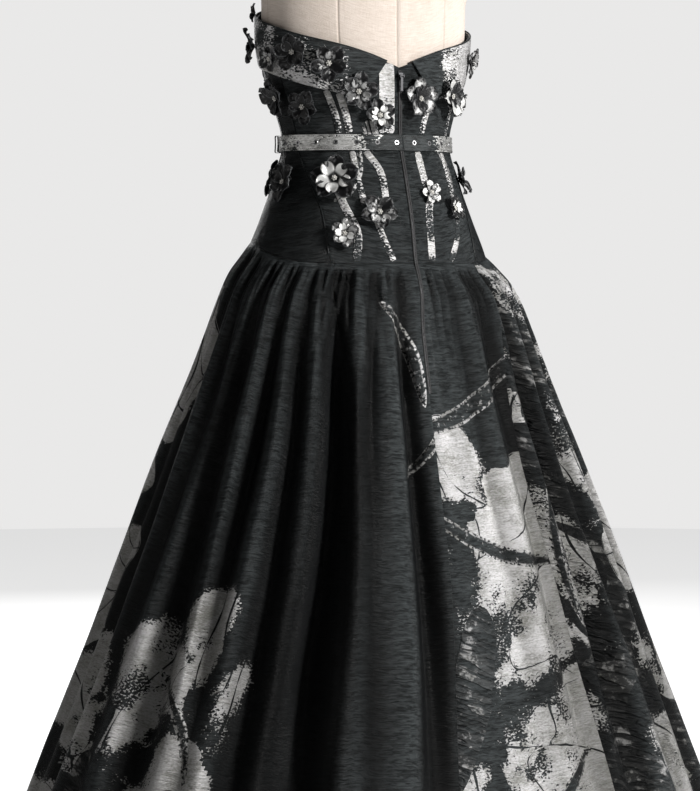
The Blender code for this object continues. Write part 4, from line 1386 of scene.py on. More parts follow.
@dataclass
class PathRepeat:
    """Repeats a small piece along paths on the gown: stitches, eyelets or teeth."""

    tree: Tree = field(init=False)

    def __post_init__(self) -> None:
        """Builds the tree."""
        ports = [Port("Spacing"), Port("Piece", "Object"), Port("Finish", "Material")]
        self.tree, draft, inside, outside = geometry_tree("repeat_on_path", ports)
        given = inside.outputs
        curve = draft.add("GeometryNodeMeshToCurve", {0: given["Geometry"]}).outputs[0]
        points = draft.add("GeometryNodeCurveToPoints", {"Curve": curve, "Length": given["Spacing"]}, mode="LENGTH")
        outward = draft.add("GeometryNodeInputNamedAttribute", {"Name": "outward"}, data_type="FLOAT_VECTOR")
        upright = draft.add("FunctionNodeAlignRotationToVector", {"Vector": outward.outputs[0]}, axis="Z")
        turns = {"Rotation": upright.outputs[0], "Vector": points.outputs["Tangent"]}
        along = draft.add("FunctionNodeAlignRotationToVector", turns, axis="X", pivot_axis="Z").outputs[0]
        piece = draft.add("GeometryNodeObjectInfo", {"Object": given["Piece"]}).outputs["Geometry"]
        places = {"Points": points.outputs["Points"], "Instance": piece, "Rotation": along}
        placed = draft.add("GeometryNodeInstanceOnPoints", places).outputs[0]
        real = draft.add("GeometryNodeRealizeInstances", {0: placed}).outputs[0]
        dressed = draft.add("GeometryNodeSetMaterial", {0: real, "Material": given["Finish"]})
        draft.put(outside.inputs[0], dressed.outputs[0])

    def run(
        self,
        name: str,
        paths: Sequence[Path],
        piece: Object,
        spacing: float,
        finish: Material,
    ) -> Object:
        """Repeats a piece along paths.

        Args:
            name: The new piece's name.
            paths: Points and outward directions of each path.
            piece: What is repeated, with X along the path and Z outward.
            spacing: Distance between two.
            finish: The material.

        Returns:
            The repeated pieces as one object.
        """
        points, edges, out = [], [], []
        for path, directions in paths:
            start = len(points)
            points += path.tolist()
            out += directions.tolist()
            edges += [(start + i, start + i + 1) for i in range(len(path) - 1)]
        mesh = bpy.data.meshes.new(name)
        mesh.from_pydata(points, edges, [])
        data = mesh.attributes.new("outward", "FLOAT_VECTOR", "POINT")
        data.data.foreach_set("vector", np.array(out, dtype=np.float32).ravel())
        obj = new_object(name, mesh)
        return realized(obj, self.tree, {"Spacing": spacing, "Piece": piece, "Finish": finish})


def small_piece(name: str, bm: bmesh.types.BMesh) -> Object:
    """Makes a shape an object to repeat, kept out of the scene.

    Args:
        name: The object's name.
        bm: The shape, which is used up.

    Returns:
        The object.
    """
    mesh = bpy.data.meshes.new(name)
    bm.to_mesh(mesh)
    bm.free()
    return bpy.data.objects.new(name, smooth(mesh, 40))


def join_rings(bm: bmesh.types.BMesh, low: list[bmesh.types.BMVert], high: list[bmesh.types.BMVert]) -> None:
    """Lays faces between two rings of as many points."""
    for i in range(len(low)):
        n = (i + 1) % len(low)
        bm.faces.new((low[i], low[n], high[n], high[i]))


def stitch_piece(length: float, thickness: float, flatness: float = 0.8, sides: int = 6) -> Object:
    """One stitch: a short thread that dips at both ends.

    Args:
        length: Its length, along X.
        thickness: The thread's thickness.
        flatness: Its height, as a share of the thickness.
        sides: Faces round it.

    Returns:
        The stitch.
    """
    bm = bmesh.new()
    around = [2 * math.pi * i / sides for i in range(sides)]
    rings = []
    for turn in (0.25 * math.pi, 0.5 * math.pi, 0.75 * math.pi):
        x, y = length / 2 * math.cos(turn), thickness / 2 * math.sin(turn)
        rings.append([bm.verts.new((x, y * math.cos(a), flatness * y * math.sin(a))) for a in around])
    for low, high in zip(rings, rings[1:]):
        join_rings(bm, low, high)
    for ring, end in ((rings[0], length / 2), (rings[-1], -length / 2)):
        tip = bm.verts.new((end, 0.0, 0.0))
        for i in range(sides):
            bm.faces.new((ring[i], ring[(i + 1) % sides], tip))
    bmesh.ops.recalc_face_normals(bm, faces=bm.faces)
    return small_piece("stitch", bm)


def eyelet_piece(outer: float, hole: float, height: float, sides: int = 20, steps: int = 6) -> Object:
    """One rolled eyelet ring.

    Args:
        outer: Its outer radius.
        hole: Its hole's radius.
        height: How far it stands out.
        sides: Faces round the ring.
        steps: Faces round its roll.

    Returns:
        The ring.
    """
    bm = bmesh.new()
    middle, roll = (outer + hole) / 2, (outer - hole) / 2
    around = [2 * math.pi * i / sides for i in range(sides)]
    rings = []
    for k in range(steps):
        turn = 2 * math.pi * k / steps
        r, z = middle + roll * math.cos(turn), height * math.sin(turn)
        rings.append([bm.verts.new((r * math.cos(a), r * math.sin(a), z)) for a in around])
    for k in range(steps):
        join_rings(bm, rings[k], rings[(k + 1) % steps])
    bmesh.ops.recalc_face_normals(bm, faces=bm.faces)
    return small_piece("eyelet", bm)


def cone_piece(name: str, low: float, high: float, height: float, sides: int) -> Object:
    """A disc or cut stone: a closed cone with a flat top.

    Args:
        name: Its name.
        low: Its radius below.
        high: Its radius above.
        height: Its height.
        sides: Faces round it.

    Returns:
        The piece.
    """
    bm = bmesh.new()
    bmesh.ops.create_cone(bm, cap_ends=True, segments=sides, radius1=low, radius2=high, depth=height)
    return small_piece(name, bm)


def tooth_piece(size: tuple[float, float, float], bevel: float = 0.12 * MM) -> Object:
    """One element of the zip's coil.

    Args:
        size: Its sizes.
        bevel: Width of its bevelled edges.

    Returns:
        The element.
    """
    bm = bmesh.new()
    bmesh.ops.create_cube(bm, size=1.0)
    bmesh.ops.scale(bm, vec=size, verts=bm.verts)
    bmesh.ops.bevel(bm, geom=list(bm.edges), offset=bevel, segments=1, affect="EDGES")
    return small_piece("tooth", bm)


# ---- The gown's pieces ----


def ride(piece: Object, slot: str, *nodes: str) -> Object:
    """Makes a piece ride with the gown, and reports it.

    Args:
        piece: The piece.
        slot: Not used.
        nodes: The nodes that it stands for.

    Returns:
        The same piece.
    """
    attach(piece, GOWN_BODY)
    if nodes:
        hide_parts(*nodes)
    LOG.info("%s: %d faces", piece.name, len(piece.data.polygons))
    return piece


SKIRT_MOTIFS: dict[str, tuple[Motif, ...]] = {
    "skirt_back_right": (
        *blossom(0.115, 0.63, 0.42, 226),
        Motif(0.035, 0.30, 128, 0.19, 0.12, -0.018, 0.75),
        Motif(-0.01, 0.17, 28, 0.30, 0.028, 0.030, 0.0, Yarn.CORD, 2),
        Motif(0.00, 0.39, -22, 0.27, 0.024, 0.024, 0.0, Yarn.CORD, 2),
        Motif(-0.05, 0.80, 52, 0.24, 0.024, -0.03, 0.0, Yarn.CORD, 2),
    ),
    "skirt_back_left": (
        Motif(0.03, 0.86, 70, 0.16, 0.09, 0.012, 0.95),
        Motif(-0.07, 0.25, 50, 0.14, 0.014, 0.02, 0.0, Yarn.CORD, 2),
        Motif(-0.04, 0.13, 118, 0.17, 0.020, 0.016, 0.0, Yarn.CORD, 1),
    ),
    "skirt_side_right": (
        Motif(0.31, 0.53, 72, 1.0, 0.27, 0.0, 0.0, Yarn.RIBBED, 0),
        *blossom(0.21, 0.20, 0.17, 250, fade=1.5),
        *blossom(0.37, 0.66, 0.22, 200, 6, 1.5),
        *blossom(0.28, 0.44, 0.13, 130, fade=1.4),
        *blossom(-0.02, 0.60, 0.24, 260),
        *blossom(-0.30, 0.40, 0.19, 290),
        *blossom(-0.34, 0.84, 0.22, 230),
        Motif(0.36, 0.46, 64, 0.26, 0.018, -0.030, 0.0, Yarn.CORD, 2),
        Motif(0.42, 0.84, 40, 0.18, 0.075, 0.012, 0.0, Yarn.RIBBED, 2),
        Motif(-0.05, 0.18, 40, 0.26, 0.026, 0.030, 0.0, Yarn.CORD, 2),
        Motif(0.16, 0.84, 120, 0.24, 0.09, 0.012, 0.0, Yarn.RIBBED, 2),
    ),
    "skirt_side_left": (
        Motif(0.085, 0.19, 98, 0.25, 0.14, 0.014, 0.10),
        *blossom(-0.06, 0.84, 0.25, 248, 6, 1.35),
        *blossom(0.28, 0.66, 0.24, 190),
        *blossom(0.16, 0.42, 0.12, 300),
        Motif(-0.225, 0.60, 96, 0.23, 0.11, 0.014, 1.25),
        Motif(-0.305, 0.67, 82, 0.18, 0.075, -0.012, 1.35, layer=1),
        Motif(-0.20, 0.70, 128, 0.21, 0.016, 0.030, 0.0, Yarn.CORD, 2),
        Motif(0.20, 0.22, 140, 0.24, 0.026, 0.030, 0.0, Yarn.CORD, 2),
        Motif(-0.30, 0.90, 74, 0.16, 0.08, 0.012, 0.95),
    ),
    "skirt_front": (
        *blossom(-0.08, 0.40, 0.19, 255),
        *blossom(0.09, 0.78, 0.25, 215, 6),
        Motif(-0.13, 0.76, 100, 0.26, 0.13, -0.018, 0.80),
        Motif(0.04, 0.22, 150, 0.26, 0.026, 0.030, 0.0, Yarn.CORD, 2),
        Motif(-0.14, 0.62, 30, 0.18, 0.07, 0.012, 0.0, Yarn.RIBBED, 2),
    ),
}

BODICE_MOTIFS: dict[str, tuple[Motif, ...]] = {
    "bodice_back_left": (
        Motif(0.02, 0.050, 100, 0.10, 0.050, 0.006, 0.9),
        Motif(0.01, 0.215, 55, 0.11, 0.012, 0.010, 0.0, Yarn.CORD, 1),
        Motif(-0.035, 0.17, 80, 0.09, 0.030, 0.004, 0.95),
    ),
    "bodice_back_right": (
        Motif(-0.01, 0.060, 80, 0.09, 0.036, 0.006, 0.95),
        Motif(0.0, 0.20, 118, 0.10, 0.011, 0.010, 0.0, Yarn.CORD, 1),
    ),
    "bodice_side_right": (Motif(0.02, 0.10, 80, 0.13, 0.05, 0.006, 0.9),),
    "bodice_front": (
        Motif(-0.06, 0.09, 70, 0.13, 0.06, 0.006, 0.6),
        Motif(0.07, 0.19, 110, 0.15, 0.06, 0.006, 0.8),
    ),
}

Edge = Callable[[np.ndarray], np.ndarray]


@dataclass
class Skirt:
    """Five gathered gores that hang from the hip seam."""

    finish: Material
    wall: float = 1.8 * MM
    seam_gap: float = 0.30 * MM
    column_step: float = 5.5 * MM
    rows: int = 165
    row_crowding: float = 1.18
    seam_dip: float = 0.8 * MM
    seam_reach: float = 5 * MM
    # Painted shade in the valleys: the weight of the creases, the depth that is fully dark, and the range of its
    # step.
    crease_weight: float = 1.5
    painted_shade_depth: float = 24 * MM
    painted_shade_range: tuple[float, float] = (0.06, 0.88)

    def gore(self, name: str, start: Edge, end: Edge) -> Panel:
        """Makes one gore between two seams.

        Args:
            name: The node that it stands for.
            start: Angle of its first edge at each share of the way down.
            end: Angle of its last edge.

        Returns:
            The gore and its cut.
        """
        share = np.linspace(0, 1, self.rows) ** self.row_crowding
        one_degree = SHAPE.skirt(start(share) + 0.5, share) - SHAPE.skirt(start(share) - 0.5, share)
        gap = self.seam_gap / 2 / np.linalg.norm(one_degree, axis=-1)
        low, high = start(share) + gap, end(share) - gap
        hem = SHAPE.skirt(np.linspace(low[-1], high[-1], 200), np.ones(200))
        columns = int(np.linalg.norm(np.diff(hem, axis=0), axis=-1).sum() / self.column_step) + 2
        angle = low[:, None] + (high - low)[:, None] * np.linspace(0, 1, columns)[None]
        outer = SHAPE.skirt(angle, np.broadcast_to(share[:, None], angle.shape))
        edge = np.minimum(np.arange(columns), np.arange(columns)[::-1]) * self.column_step
        dip = self.seam_dip * np.exp(-((edge / self.seam_reach) ** 2))[None, :, None]
        normal = grid_normals(outer)
        outer = outer - normal * dip
        inner = outer - normal * self.wall
        motifs = SKIRT_MOTIFS[name]
        panel = cloth_wall(f"{name}_cloth", outer, inner, self.finish, lambda cloth: weave_marks(cloth, motifs))
        # Painted shade: how far folds and creases draw the cloth in sets each point's valley number, which darkens
        # its colour in the valleys.
        down = np.broadcast_to(share[:, None], angle.shape)
        drawn_in = SHAPE.folds(angle, down) + self.crease_weight * SHAPE.creases(angle, down)
        drawn_in /= self.painted_shade_depth * (0.5 + 0.5 * smooth_step(down, 0.0, 0.3))
        set_number(panel.piece.data, "valley", np.tile(smooth_step(drawn_in, *self.painted_shade_range).ravel(), 2))
        return panel

    def build(self) -> dict[str, Panel]:
        """Makes all the gores.

        Returns:
            The gores, by the node that each stands for.
        """

        def back(share: np.ndarray) -> np.ndarray:
            """The angle of the seam at the centre back."""
            return BACK_SEAM.at(share)[..., 0]

        def side(share: np.ndarray) -> np.ndarray:
            """The angle of the seam between a back gore and a side gore."""
            return SKIRT_SEAM.at(share)[..., 0]

        edges: dict[str, tuple[Edge, Edge]] = {
            "skirt_back_left": (back, side),
            "skirt_back_right": (lambda s: -side(s), back),
            "skirt_side_left": (side, lambda s: 180.0 - side(s)),
            "skirt_side_right": (lambda s: side(s) - 180.0, lambda s: -side(s)),
            "skirt_front": (lambda s: 180.0 - side(s), lambda s: 180.0 + side(s)),
        }
        gores = {name: self.gore(name, *pair) for name, pair in edges.items()}
        for name, gore in gores.items():
            ride(gore.piece, "black_jacquard", name)
        return gores


@dataclass
class Bodice:
    """The corset's five panels."""

    finish: Material
    wall: float = 2.0 * MM
    seam_gap: float = 0.30 * MM
    step: float = 3.0 * MM
    rows: int = 112
    seam_rounds: int = 24
    waist_share: float = 0.36
    waist_half: float = 0.1262
    one_degree: float = 2.4 * MM
    seam_dip: float = 0.7 * MM
    seam_reach: float = 3.2 * MM
    unevenness: float = 0.35 * MM
    # Painted shade laid evenly over each panel, more on the side panels.
    side_painted_shade: float = 0.62
    plain_painted_shade: float = 0.22

    def rises(self, angle: np.ndarray, share: np.ndarray) -> np.ndarray:
        """Heights above the waist on the panels.

        Args:
            angle: Angles round the body.
            share: Shares of the way from the neckline, 0, past the waist to the hip seam, 1.

        Returns:
            The height at each point.
        """
        high = SHAPE.neck(angle) * (1 - share / self.waist_share)
        low = SHAPE.hip(angle) * (share - self.waist_share) / (1 - self.waist_share)
        return np.where(share < self.waist_share, high, low)

    def seam(self, share: np.ndarray, front: bool) -> np.ndarray:
        """The angle of one of a side gore's seams, where it meets its own height.

        Args:
            share: Share of the way down in each row.
            front: Whether it is the seam with the front.

        Returns:
            Its angle in each row.
        """
        angle = np.full(share.shape, 120.0 if front else 60.0)
        for _ in range(self.seam_rounds):
            back = GORE_SEAM.at(self.rises(angle, share))[..., 0]
            angle = 180.0 - back if front else back
        return angle

    def panel(self, name: str, start: np.ndarray, end: np.ndarray, share: np.ndarray) -> Panel:
        """Makes one panel between two seams.

        Args:
            name: The node that it stands for.
            start: Angle of its first edge in each row.
            end: Angle of its last edge in each row.
            share: Share of the way down in each row.

        Returns:
            The panel and its cut.
        """
        gap = self.seam_gap / 2 / (self.waist_half * math.radians(1.0))
        columns = int(np.ptp([start.min(), end.max()]) * self.one_degree / self.step) + 8
        angle = (start + gap)[:, None] + (end - start - 2 * gap)[:, None] * np.linspace(0, 1, columns)[None]
        rise = self.rises(angle, np.broadcast_to(share[:, None], angle.shape))
        edge = np.minimum(np.arange(columns), np.arange(columns)[::-1]) * self.step
        dip = self.seam_dip * np.exp(-((edge / self.seam_reach) ** 2))[None]
        pull = self.unevenness * soft_noise(angle / 5.0, rise * 55 + 20, SEED + 8)
        outer = SHAPE.body(angle, rise, pull - dip)
        inner = SHAPE.body(angle, rise, -self.wall)
        motifs = BODICE_MOTIFS.get(name, ())
        panel = cloth_wall(f"{name}_cloth", outer, inner, self.finish, lambda cloth: weave_marks(cloth, motifs))
        # Painted shade: an even valley number darkens each panel's colour, the side panels most.
        dark = self.side_painted_shade if "side" in name else self.plain_painted_shade
        set_number(panel.piece.data, "valley", np.full(len(panel.piece.data.vertices), dark))
        return panel

    def build(self) -> dict[str, Panel]:
        """Makes all the panels.

        Returns:
            The panels, by the node that each stands for.
        """
        share = np.unique(np.concatenate([np.linspace(0, 1, self.rows), [self.waist_share]]))
        back, front, zero = self.seam(share, False), self.seam(share, True), np.zeros(len(share))
        edges = {
            "bodice_back_left": (zero, back),
            "bodice_back_right": (-back, zero),
            "bodice_side_left": (back, front),
            "bodice_side_right": (-front, -back),
            "bodice_front": (front, 360.0 - front),
        }
        panels = {name: self.panel(name, *pair, share) for name, pair in edges.items()}
        for name, panel in panels.items():
            ride(panel.piece, "black_jacquard", name)
        return panels


def body_path(points: Sequence[tuple[float, float]], count: int, outward: float = 0.0) -> Path:
    """A smooth path on the bodice.

    Args:
        points: Angle and rise in millimetres of each point.
        count: Points of the path.
        outward: Distance out of the bodice.

    Returns:
        The path's points and outward directions.
    """
    table = SmoothTable(tuple((float(i), a, z * MM) for i, (a, z) in enumerate(points)))
    where = table.at(np.linspace(0, len(points) - 1, count))
    angle, rise = where[:, 0], where[:, 1]
    path = SHAPE.body(angle, rise, outward)
    lean = SHAPE.body(angle + 0.4, rise) - SHAPE.body(angle - 0.4, rise)
    down = SHAPE.body(angle, rise - 1 * MM) - SHAPE.body(angle, rise + 1 * MM)
    out = np.cross(lean, down)
    return path, out / np.linalg.norm(out, axis=-1, keepdims=True)


class Strip(NamedTuple):
    """A boning strip: its width in millimetres, share of silver, and angle and rise points."""

    width: float
    silver: float
    points: tuple[tuple[float, float], ...]


STRIPS = (
    Strip(9, 0.16, ((24.5, -12.5), (16.2, -40), (14.0, -72), (14.5, -96))),
    Strip(8, 0.05, ((33.5, -12.5), (31.0, -42), (26.0, -84), (22.5, -110))),
    Strip(10, 0.20, ((43.0, -60), (37.0, -88), (28.5, -126), (27.5, -165))),
    Strip(8, 0.05, ((20.0, -100), (17.5, -120), (10.5, -165))),
    Strip(11, 0.25, ((-12.5, -12.5), (-13.2, -52), (-15.2, -74), (-11.5, -100), (-8.8, -165))),
    Strip(9, 0.15, ((-38.0, -12.5), (-36.6, -60), (-32.4, -114), (-20.0, -165))),
    Strip(9, 0.15, ((37.5, 68), (35.5, 40), (34.5, 13))),
    Strip(8, 0.05, ((45.5, 72), (42.5, 40), (41.4, 13))),
    Strip(21, 0.40, ((7.6, 110), (7.9, 80), (8.7, 50), (9.4, 13))),
    Strip(9, 0.15, ((-24.0, 66), (-20.0, 40), (-17.0, 13))),
    Strip(9, 0.05, ((-48.6, 76), (-47.4, 40), (-46.4, 13))),
    Strip(10, 0.15, ((150, -12.5), (156, -60), (160, -110), (163, -165))),
    Strip(10, 0.15, ((-150, -12.5), (-156, -60), (-160, -110), (-163, -165))),
    Strip(9, 0.12, ((142, 90), (150, 50), (154, 13))),
    Strip(9, 0.12, ((-142, 90), (-150, 50), (-154, 13))),
    Strip(9, 0.12, ((128, -12.5), (134, -60), (143, -120), (148, -160))),
    Strip(9, 0.12, ((-128, -12.5), (-134, -60), (-143, -120), (-148, -160))),
)


@dataclass
class Boning:
    """Raised silver strips over the bodice's bones."""

    finish: Material
    thickness: float = 1.0 * MM
    base: float = 0.15 * MM
    fullness: float = 1.12
    rows: int = 44

    def build(self) -> None:
        """Makes all the strips as one piece."""
        from_end = np.minimum(np.arange(self.rows), np.arange(self.rows)[::-1])
        taper = np.clip(0.8 + from_end / 8, 0, 1)
        size = (self.base, self.thickness, self.finish)
        parts = []
        for number, strip in enumerate(STRIPS):
            path, out = body_path(strip.points, self.rows)
            width = strip.width * self.fullness * MM * taper
            parts.append(ribbon(f"strip_{number}", path, out, width, *size, strip.silver))
        ride(joined("boning_strips", parts), "silver_jacquard")


@dataclass
class SeamTrim:
    """Piping in the bodice's slanting seams, and the stitches beside its zip and hip seam."""

    finish: Material
    thread: Material
    repeat: PathRepeat
    radius: float = 0.8 * MM
    sides: int = 6
    below_belt: tuple[float, float] = (-155, -13)
    above_belt: tuple[float, float] = (13, 60)
    stitch_size: tuple[float, float] = (2.2 * MM, 0.5 * MM)
    stitch_pitch: float = 3.2 * MM
    stitch_seat: float = 0.1 * MM
    beside_zip: float = 6.5
    hip_end: float = 172.0
    above_hip: float = 3.0

    def build(self) -> None:
        """Makes the piping and the stitches."""
        seams = []
        for side in (1, -1):
            for low, high in (self.below_belt, self.above_belt):
                rises = np.linspace(low, high, 9)
                back = GORE_SEAM.at(rises * MM)[:, 0]
                for middle in (side * back, side * (180.0 - back)):
                    path = body_path(list(zip(middle, rises)), 60, 0.0)[0]
                    seams.append(tube("seam", path, self.radius, self.finish, self.sides))
        ride(joined("seam_piping", seams), "black_jacquard")
        seat, beside = self.stitch_seat, self.beside_zip
        rows = [body_path([(s * beside, z) for z in (-164, -90, -13)], 60, seat) for s in (1, -1)]
        rows.append(body_path([(-beside, z) for z in (13, 60, 100)], 40, seat))
        angles = np.linspace(-self.hip_end, self.hip_end, 60)
        rows.append(body_path(list(zip(angles, SHAPE.hip(angles) / MM + self.above_hip)), 400, seat))
        piece = stitch_piece(*self.stitch_size)
        ride(self.repeat.run("seam_stitches", rows, piece, self.stitch_pitch, self.thread), "black_jacquard")


def rounded_wall(share: np.ndarray, depth: float, rounding: float, wall: float) -> np.ndarray:
    """Half the thickness of a flat band with rounded edges.

    Args:
        share: Shares of the way across it.
        depth: Its width.
        rounding: Width of each rounded edge.
        wall: Its thickness.

    Returns:
        Half its thickness at each share.
    """
    edge = np.minimum(share, 1 - share) * depth / rounding
    return wall / 2 * np.sqrt(1 - (1 - np.clip(edge, 0.12, 1)) ** 2)


@dataclass
class NeckBand:
    """The folded band round the neckline, with a piping on its fold. Its ends slant beside the zip."""

    finish: Material
    piping: Material
    depth: float = 70 * MM
    wall: float = 2.6 * MM
    top_gap: float = 0.8 * MM
    stand_off: float = 1.2 * MM
    above_neck: float = 1.5 * MM
    end_top: float = 7.5
    end_low: float = 23.0
    rounding: float = 1.6 * MM
    waves: float = 0.8 * MM
    silver: float = 0.95
    silver_loss: float = 1.9
    silver_edge: tuple[float, float] = (32.0, 17.0)
    piping_radius: float = 1.1 * MM

    def build(self) -> Panel:
        """Makes the band.

        Returns:
            The band and its cut.
        """
        share = np.linspace(0, 1, 30)[:, None]
        end = self.end_top + (self.end_low - self.end_top) * share
        angle = end + (360.0 - 2 * end) * np.linspace(0, 1, 330)[None]
        rise = SHAPE.neck(angle) + self.above_neck - self.depth * share
        wave = self.waves * soft_noise(angle / 6.0, share * 3, SEED + 11) * share
        middle = self.top_gap + self.stand_off * np.sin(np.pi / 2 * share) + self.wall / 2
        half = rounded_wall(share, self.depth, self.rounding, self.wall)
        outer = SHAPE.body(angle, rise, middle + half + wave * (wave > 0))
        inner = SHAPE.body(angle, rise, middle - half)
        silver = self.silver - self.silver_loss * smooth_step(np.abs(turned(angle)), *self.silver_edge)

        def marker(cloth: np.ndarray) -> list[np.ndarray]:
            """Silver patches that give way to black beside the zip."""
            return patch_marks(cloth, silver, 15, 31)

        panel = cloth_wall("neck_band_cloth", outer, inner, self.finish, marker)
        ride(panel.piece, "silver_jacquard", "neck_band")
        along = np.linspace(self.end_top, 360 - self.end_top, 240)
        path = SHAPE.body(along, SHAPE.neck(along) + 1.6 * MM, self.top_gap + self.wall / 2)
        ride(tube("band_piping", path, self.piping_radius, self.piping), "black_jacquard")
        return panel


@dataclass
class Belt:
    """The eyelet belt, its tail, its keeper and the stitches along its edges."""

    finish: Material
    keeper_finish: Material
    steel: Material
    dark: Material
    thread: Material
    repeat: PathRepeat
    width: float = 22 * MM
    wall: float = 2.2 * MM
    offset: float = 1.7 * MM
    tail_offset: float = 4.2 * MM
    tail_angles: tuple[float, float] = (112.0, 186.0)
    eyelet_pitch: float = 29 * MM
    eyelet_radius: float = 3.6 * MM
    eyelet_height: float = 0.7 * MM
    hole_radius: float = 1.7 * MM
    hole_spare: float = 1.15
    hole_depth: float = 0.5 * MM
    eyelet_angles: tuple[float, float] = (-171.0, 108.0)
    tail_eyelet_angles: tuple[float, float] = (122.0, 168.0)
    rounding: float = 1.5 * MM
    silver: float = 1.1
    silver_loss: float = 2.1
    black_angle: float = -8.0
    black_spread: float = 19.0
    stitch_size: tuple[float, float] = (2.4 * MM, 0.55 * MM)
    stitch_pitch: float = 3.4 * MM
    stitch_inset: float = 2.2 * MM
    stitch_angles: tuple[float, float] = (-174.0, 110.0)
    tail_stitch_angles: tuple[float, float] = (124.0, 170.0)
    keeper_angle: float = 120.0
    keeper_half_angle: float = 4.5 / 1.9
    keeper_middle: float = 5.6 * MM
    keeper_half_depth: float = 4.6 * MM
    keeper_spare: float = 1.0 * MM
    keeper_corner: float = 0.35
    keeper_faces: tuple[tuple[float, float], ...] = ((1.025, 1.055), (0.975, 0.945))

    def strap(self, name: str, angles: np.ndarray, offset: float, closed: bool, seed: int) -> Panel:
        """Makes a strap round the waist with rounded edges.

        Args:
            name: The piece's name.
            angles: Angles along it.
            offset: Distance of its inner face from the bodice.
            closed: Whether it goes all the way round.
            seed: Which patches of the design it is cut from.

        Returns:
            The strap and its cut.
        """
        share = np.linspace(0, 1, 13)[:, None]
        rise = (0.5 - share) * self.width + 0 * angles[None]
        half = rounded_wall(share, self.width, self.rounding, self.wall)
        middle = offset + self.wall / 2
        angle = np.broadcast_to(angles[None], rise.shape)
        outer = SHAPE.body(angle, rise, middle + half)
        inner = SHAPE.body(angle, rise, middle - half)
        black = np.exp(-(((turned(angle) - self.black_angle) / self.black_spread) ** 2))
        silver = self.silver - self.silver_loss * black

        def marker(cloth: np.ndarray) -> list[np.ndarray]:
            """Silver patches, with black ones at the back."""
            return patch_marks(cloth, silver, 30, seed, 0.5)

        return cloth_wall(name, outer, inner, self.finish, marker, closed)

    def around(self, start: float, end: float, rise: float, outward: float, count: int = 260) -> Path:
        """A path round the waist."""
        return body_path([(a, rise / MM) for a in np.linspace(start, end, 24)], count, outward)

    def build(self) -> None:
        """Makes the belt's pieces."""
        belt = self.strap("belt_strap", np.linspace(0, 360, 288, endpoint=False), self.offset, True, 41)
        ride(belt.piece, "silver_jacquard", "belt")
        tail = self.strap("belt_tail_strap", np.linspace(*self.tail_angles, 80), self.tail_offset, False, 43)
        ride(tail.piece, "silver_jacquard", "belt_tail")
        face, tail_face = self.offset + self.wall, self.tail_offset + self.wall
        under = [self.around(*self.eyelet_angles, 0.0, face)]
        over = [self.around(*self.tail_eyelet_angles, 0.0, tail_face, 80)]
        ring_piece = eyelet_piece(self.eyelet_radius, self.hole_radius, self.eyelet_height)
        hole_radius = self.hole_radius * self.hole_spare
        hole = cone_piece("hole", hole_radius, hole_radius, self.hole_depth, 14)
        ride(self.repeat.run("belt_eyelets", under + over, ring_piece, self.eyelet_pitch, self.steel), "dark_metal")
        ride(self.repeat.run("belt_eyelet_holes", under + over, hole, self.eyelet_pitch, self.dark), "zip_tape_cloth")
        edge = self.width / 2 - self.stitch_inset
        rows = [self.around(*self.stitch_angles, z, face) for z in (edge, -edge)]
        rows += [self.around(*self.tail_stitch_angles, z, tail_face, 90) for z in (edge, -edge)]
        stitch = stitch_piece(*self.stitch_size)
        ride(self.repeat.run("belt_stitches", rows, stitch, self.stitch_pitch, self.thread), "zip_tape_cloth")
        self.keeper()

    def keeper(self) -> None:
        """Makes the cloth loop that holds the tail."""
        turn = np.linspace(0, 2 * math.pi, 40, endpoint=False)[None]
        rise, out = (np.sign(wave) * np.abs(wave) ** self.keeper_corner for wave in (np.sin(turn), np.cos(turn)))
        rise, out = rise * (self.width / 2 + self.keeper_spare), out * self.keeper_half_depth
        angle = self.keeper_angle + np.linspace(-self.keeper_half_angle, self.keeper_half_angle, 8)[:, None]
        outer, inner = (
            SHAPE.body(angle, rise * taller, self.keeper_middle + out * deeper)
            for taller, deeper in self.keeper_faces
        )

        def marker(cloth: np.ndarray) -> list[np.ndarray]:
            """Plain ground."""
            return weave_marks(cloth, ())

        panel = cloth_wall("belt_keeper_loop", outer, inner, self.keeper_finish, marker, True)
        face_outwards(panel.piece)
        ride(panel.piece, "black_jacquard", "belt_keeper")


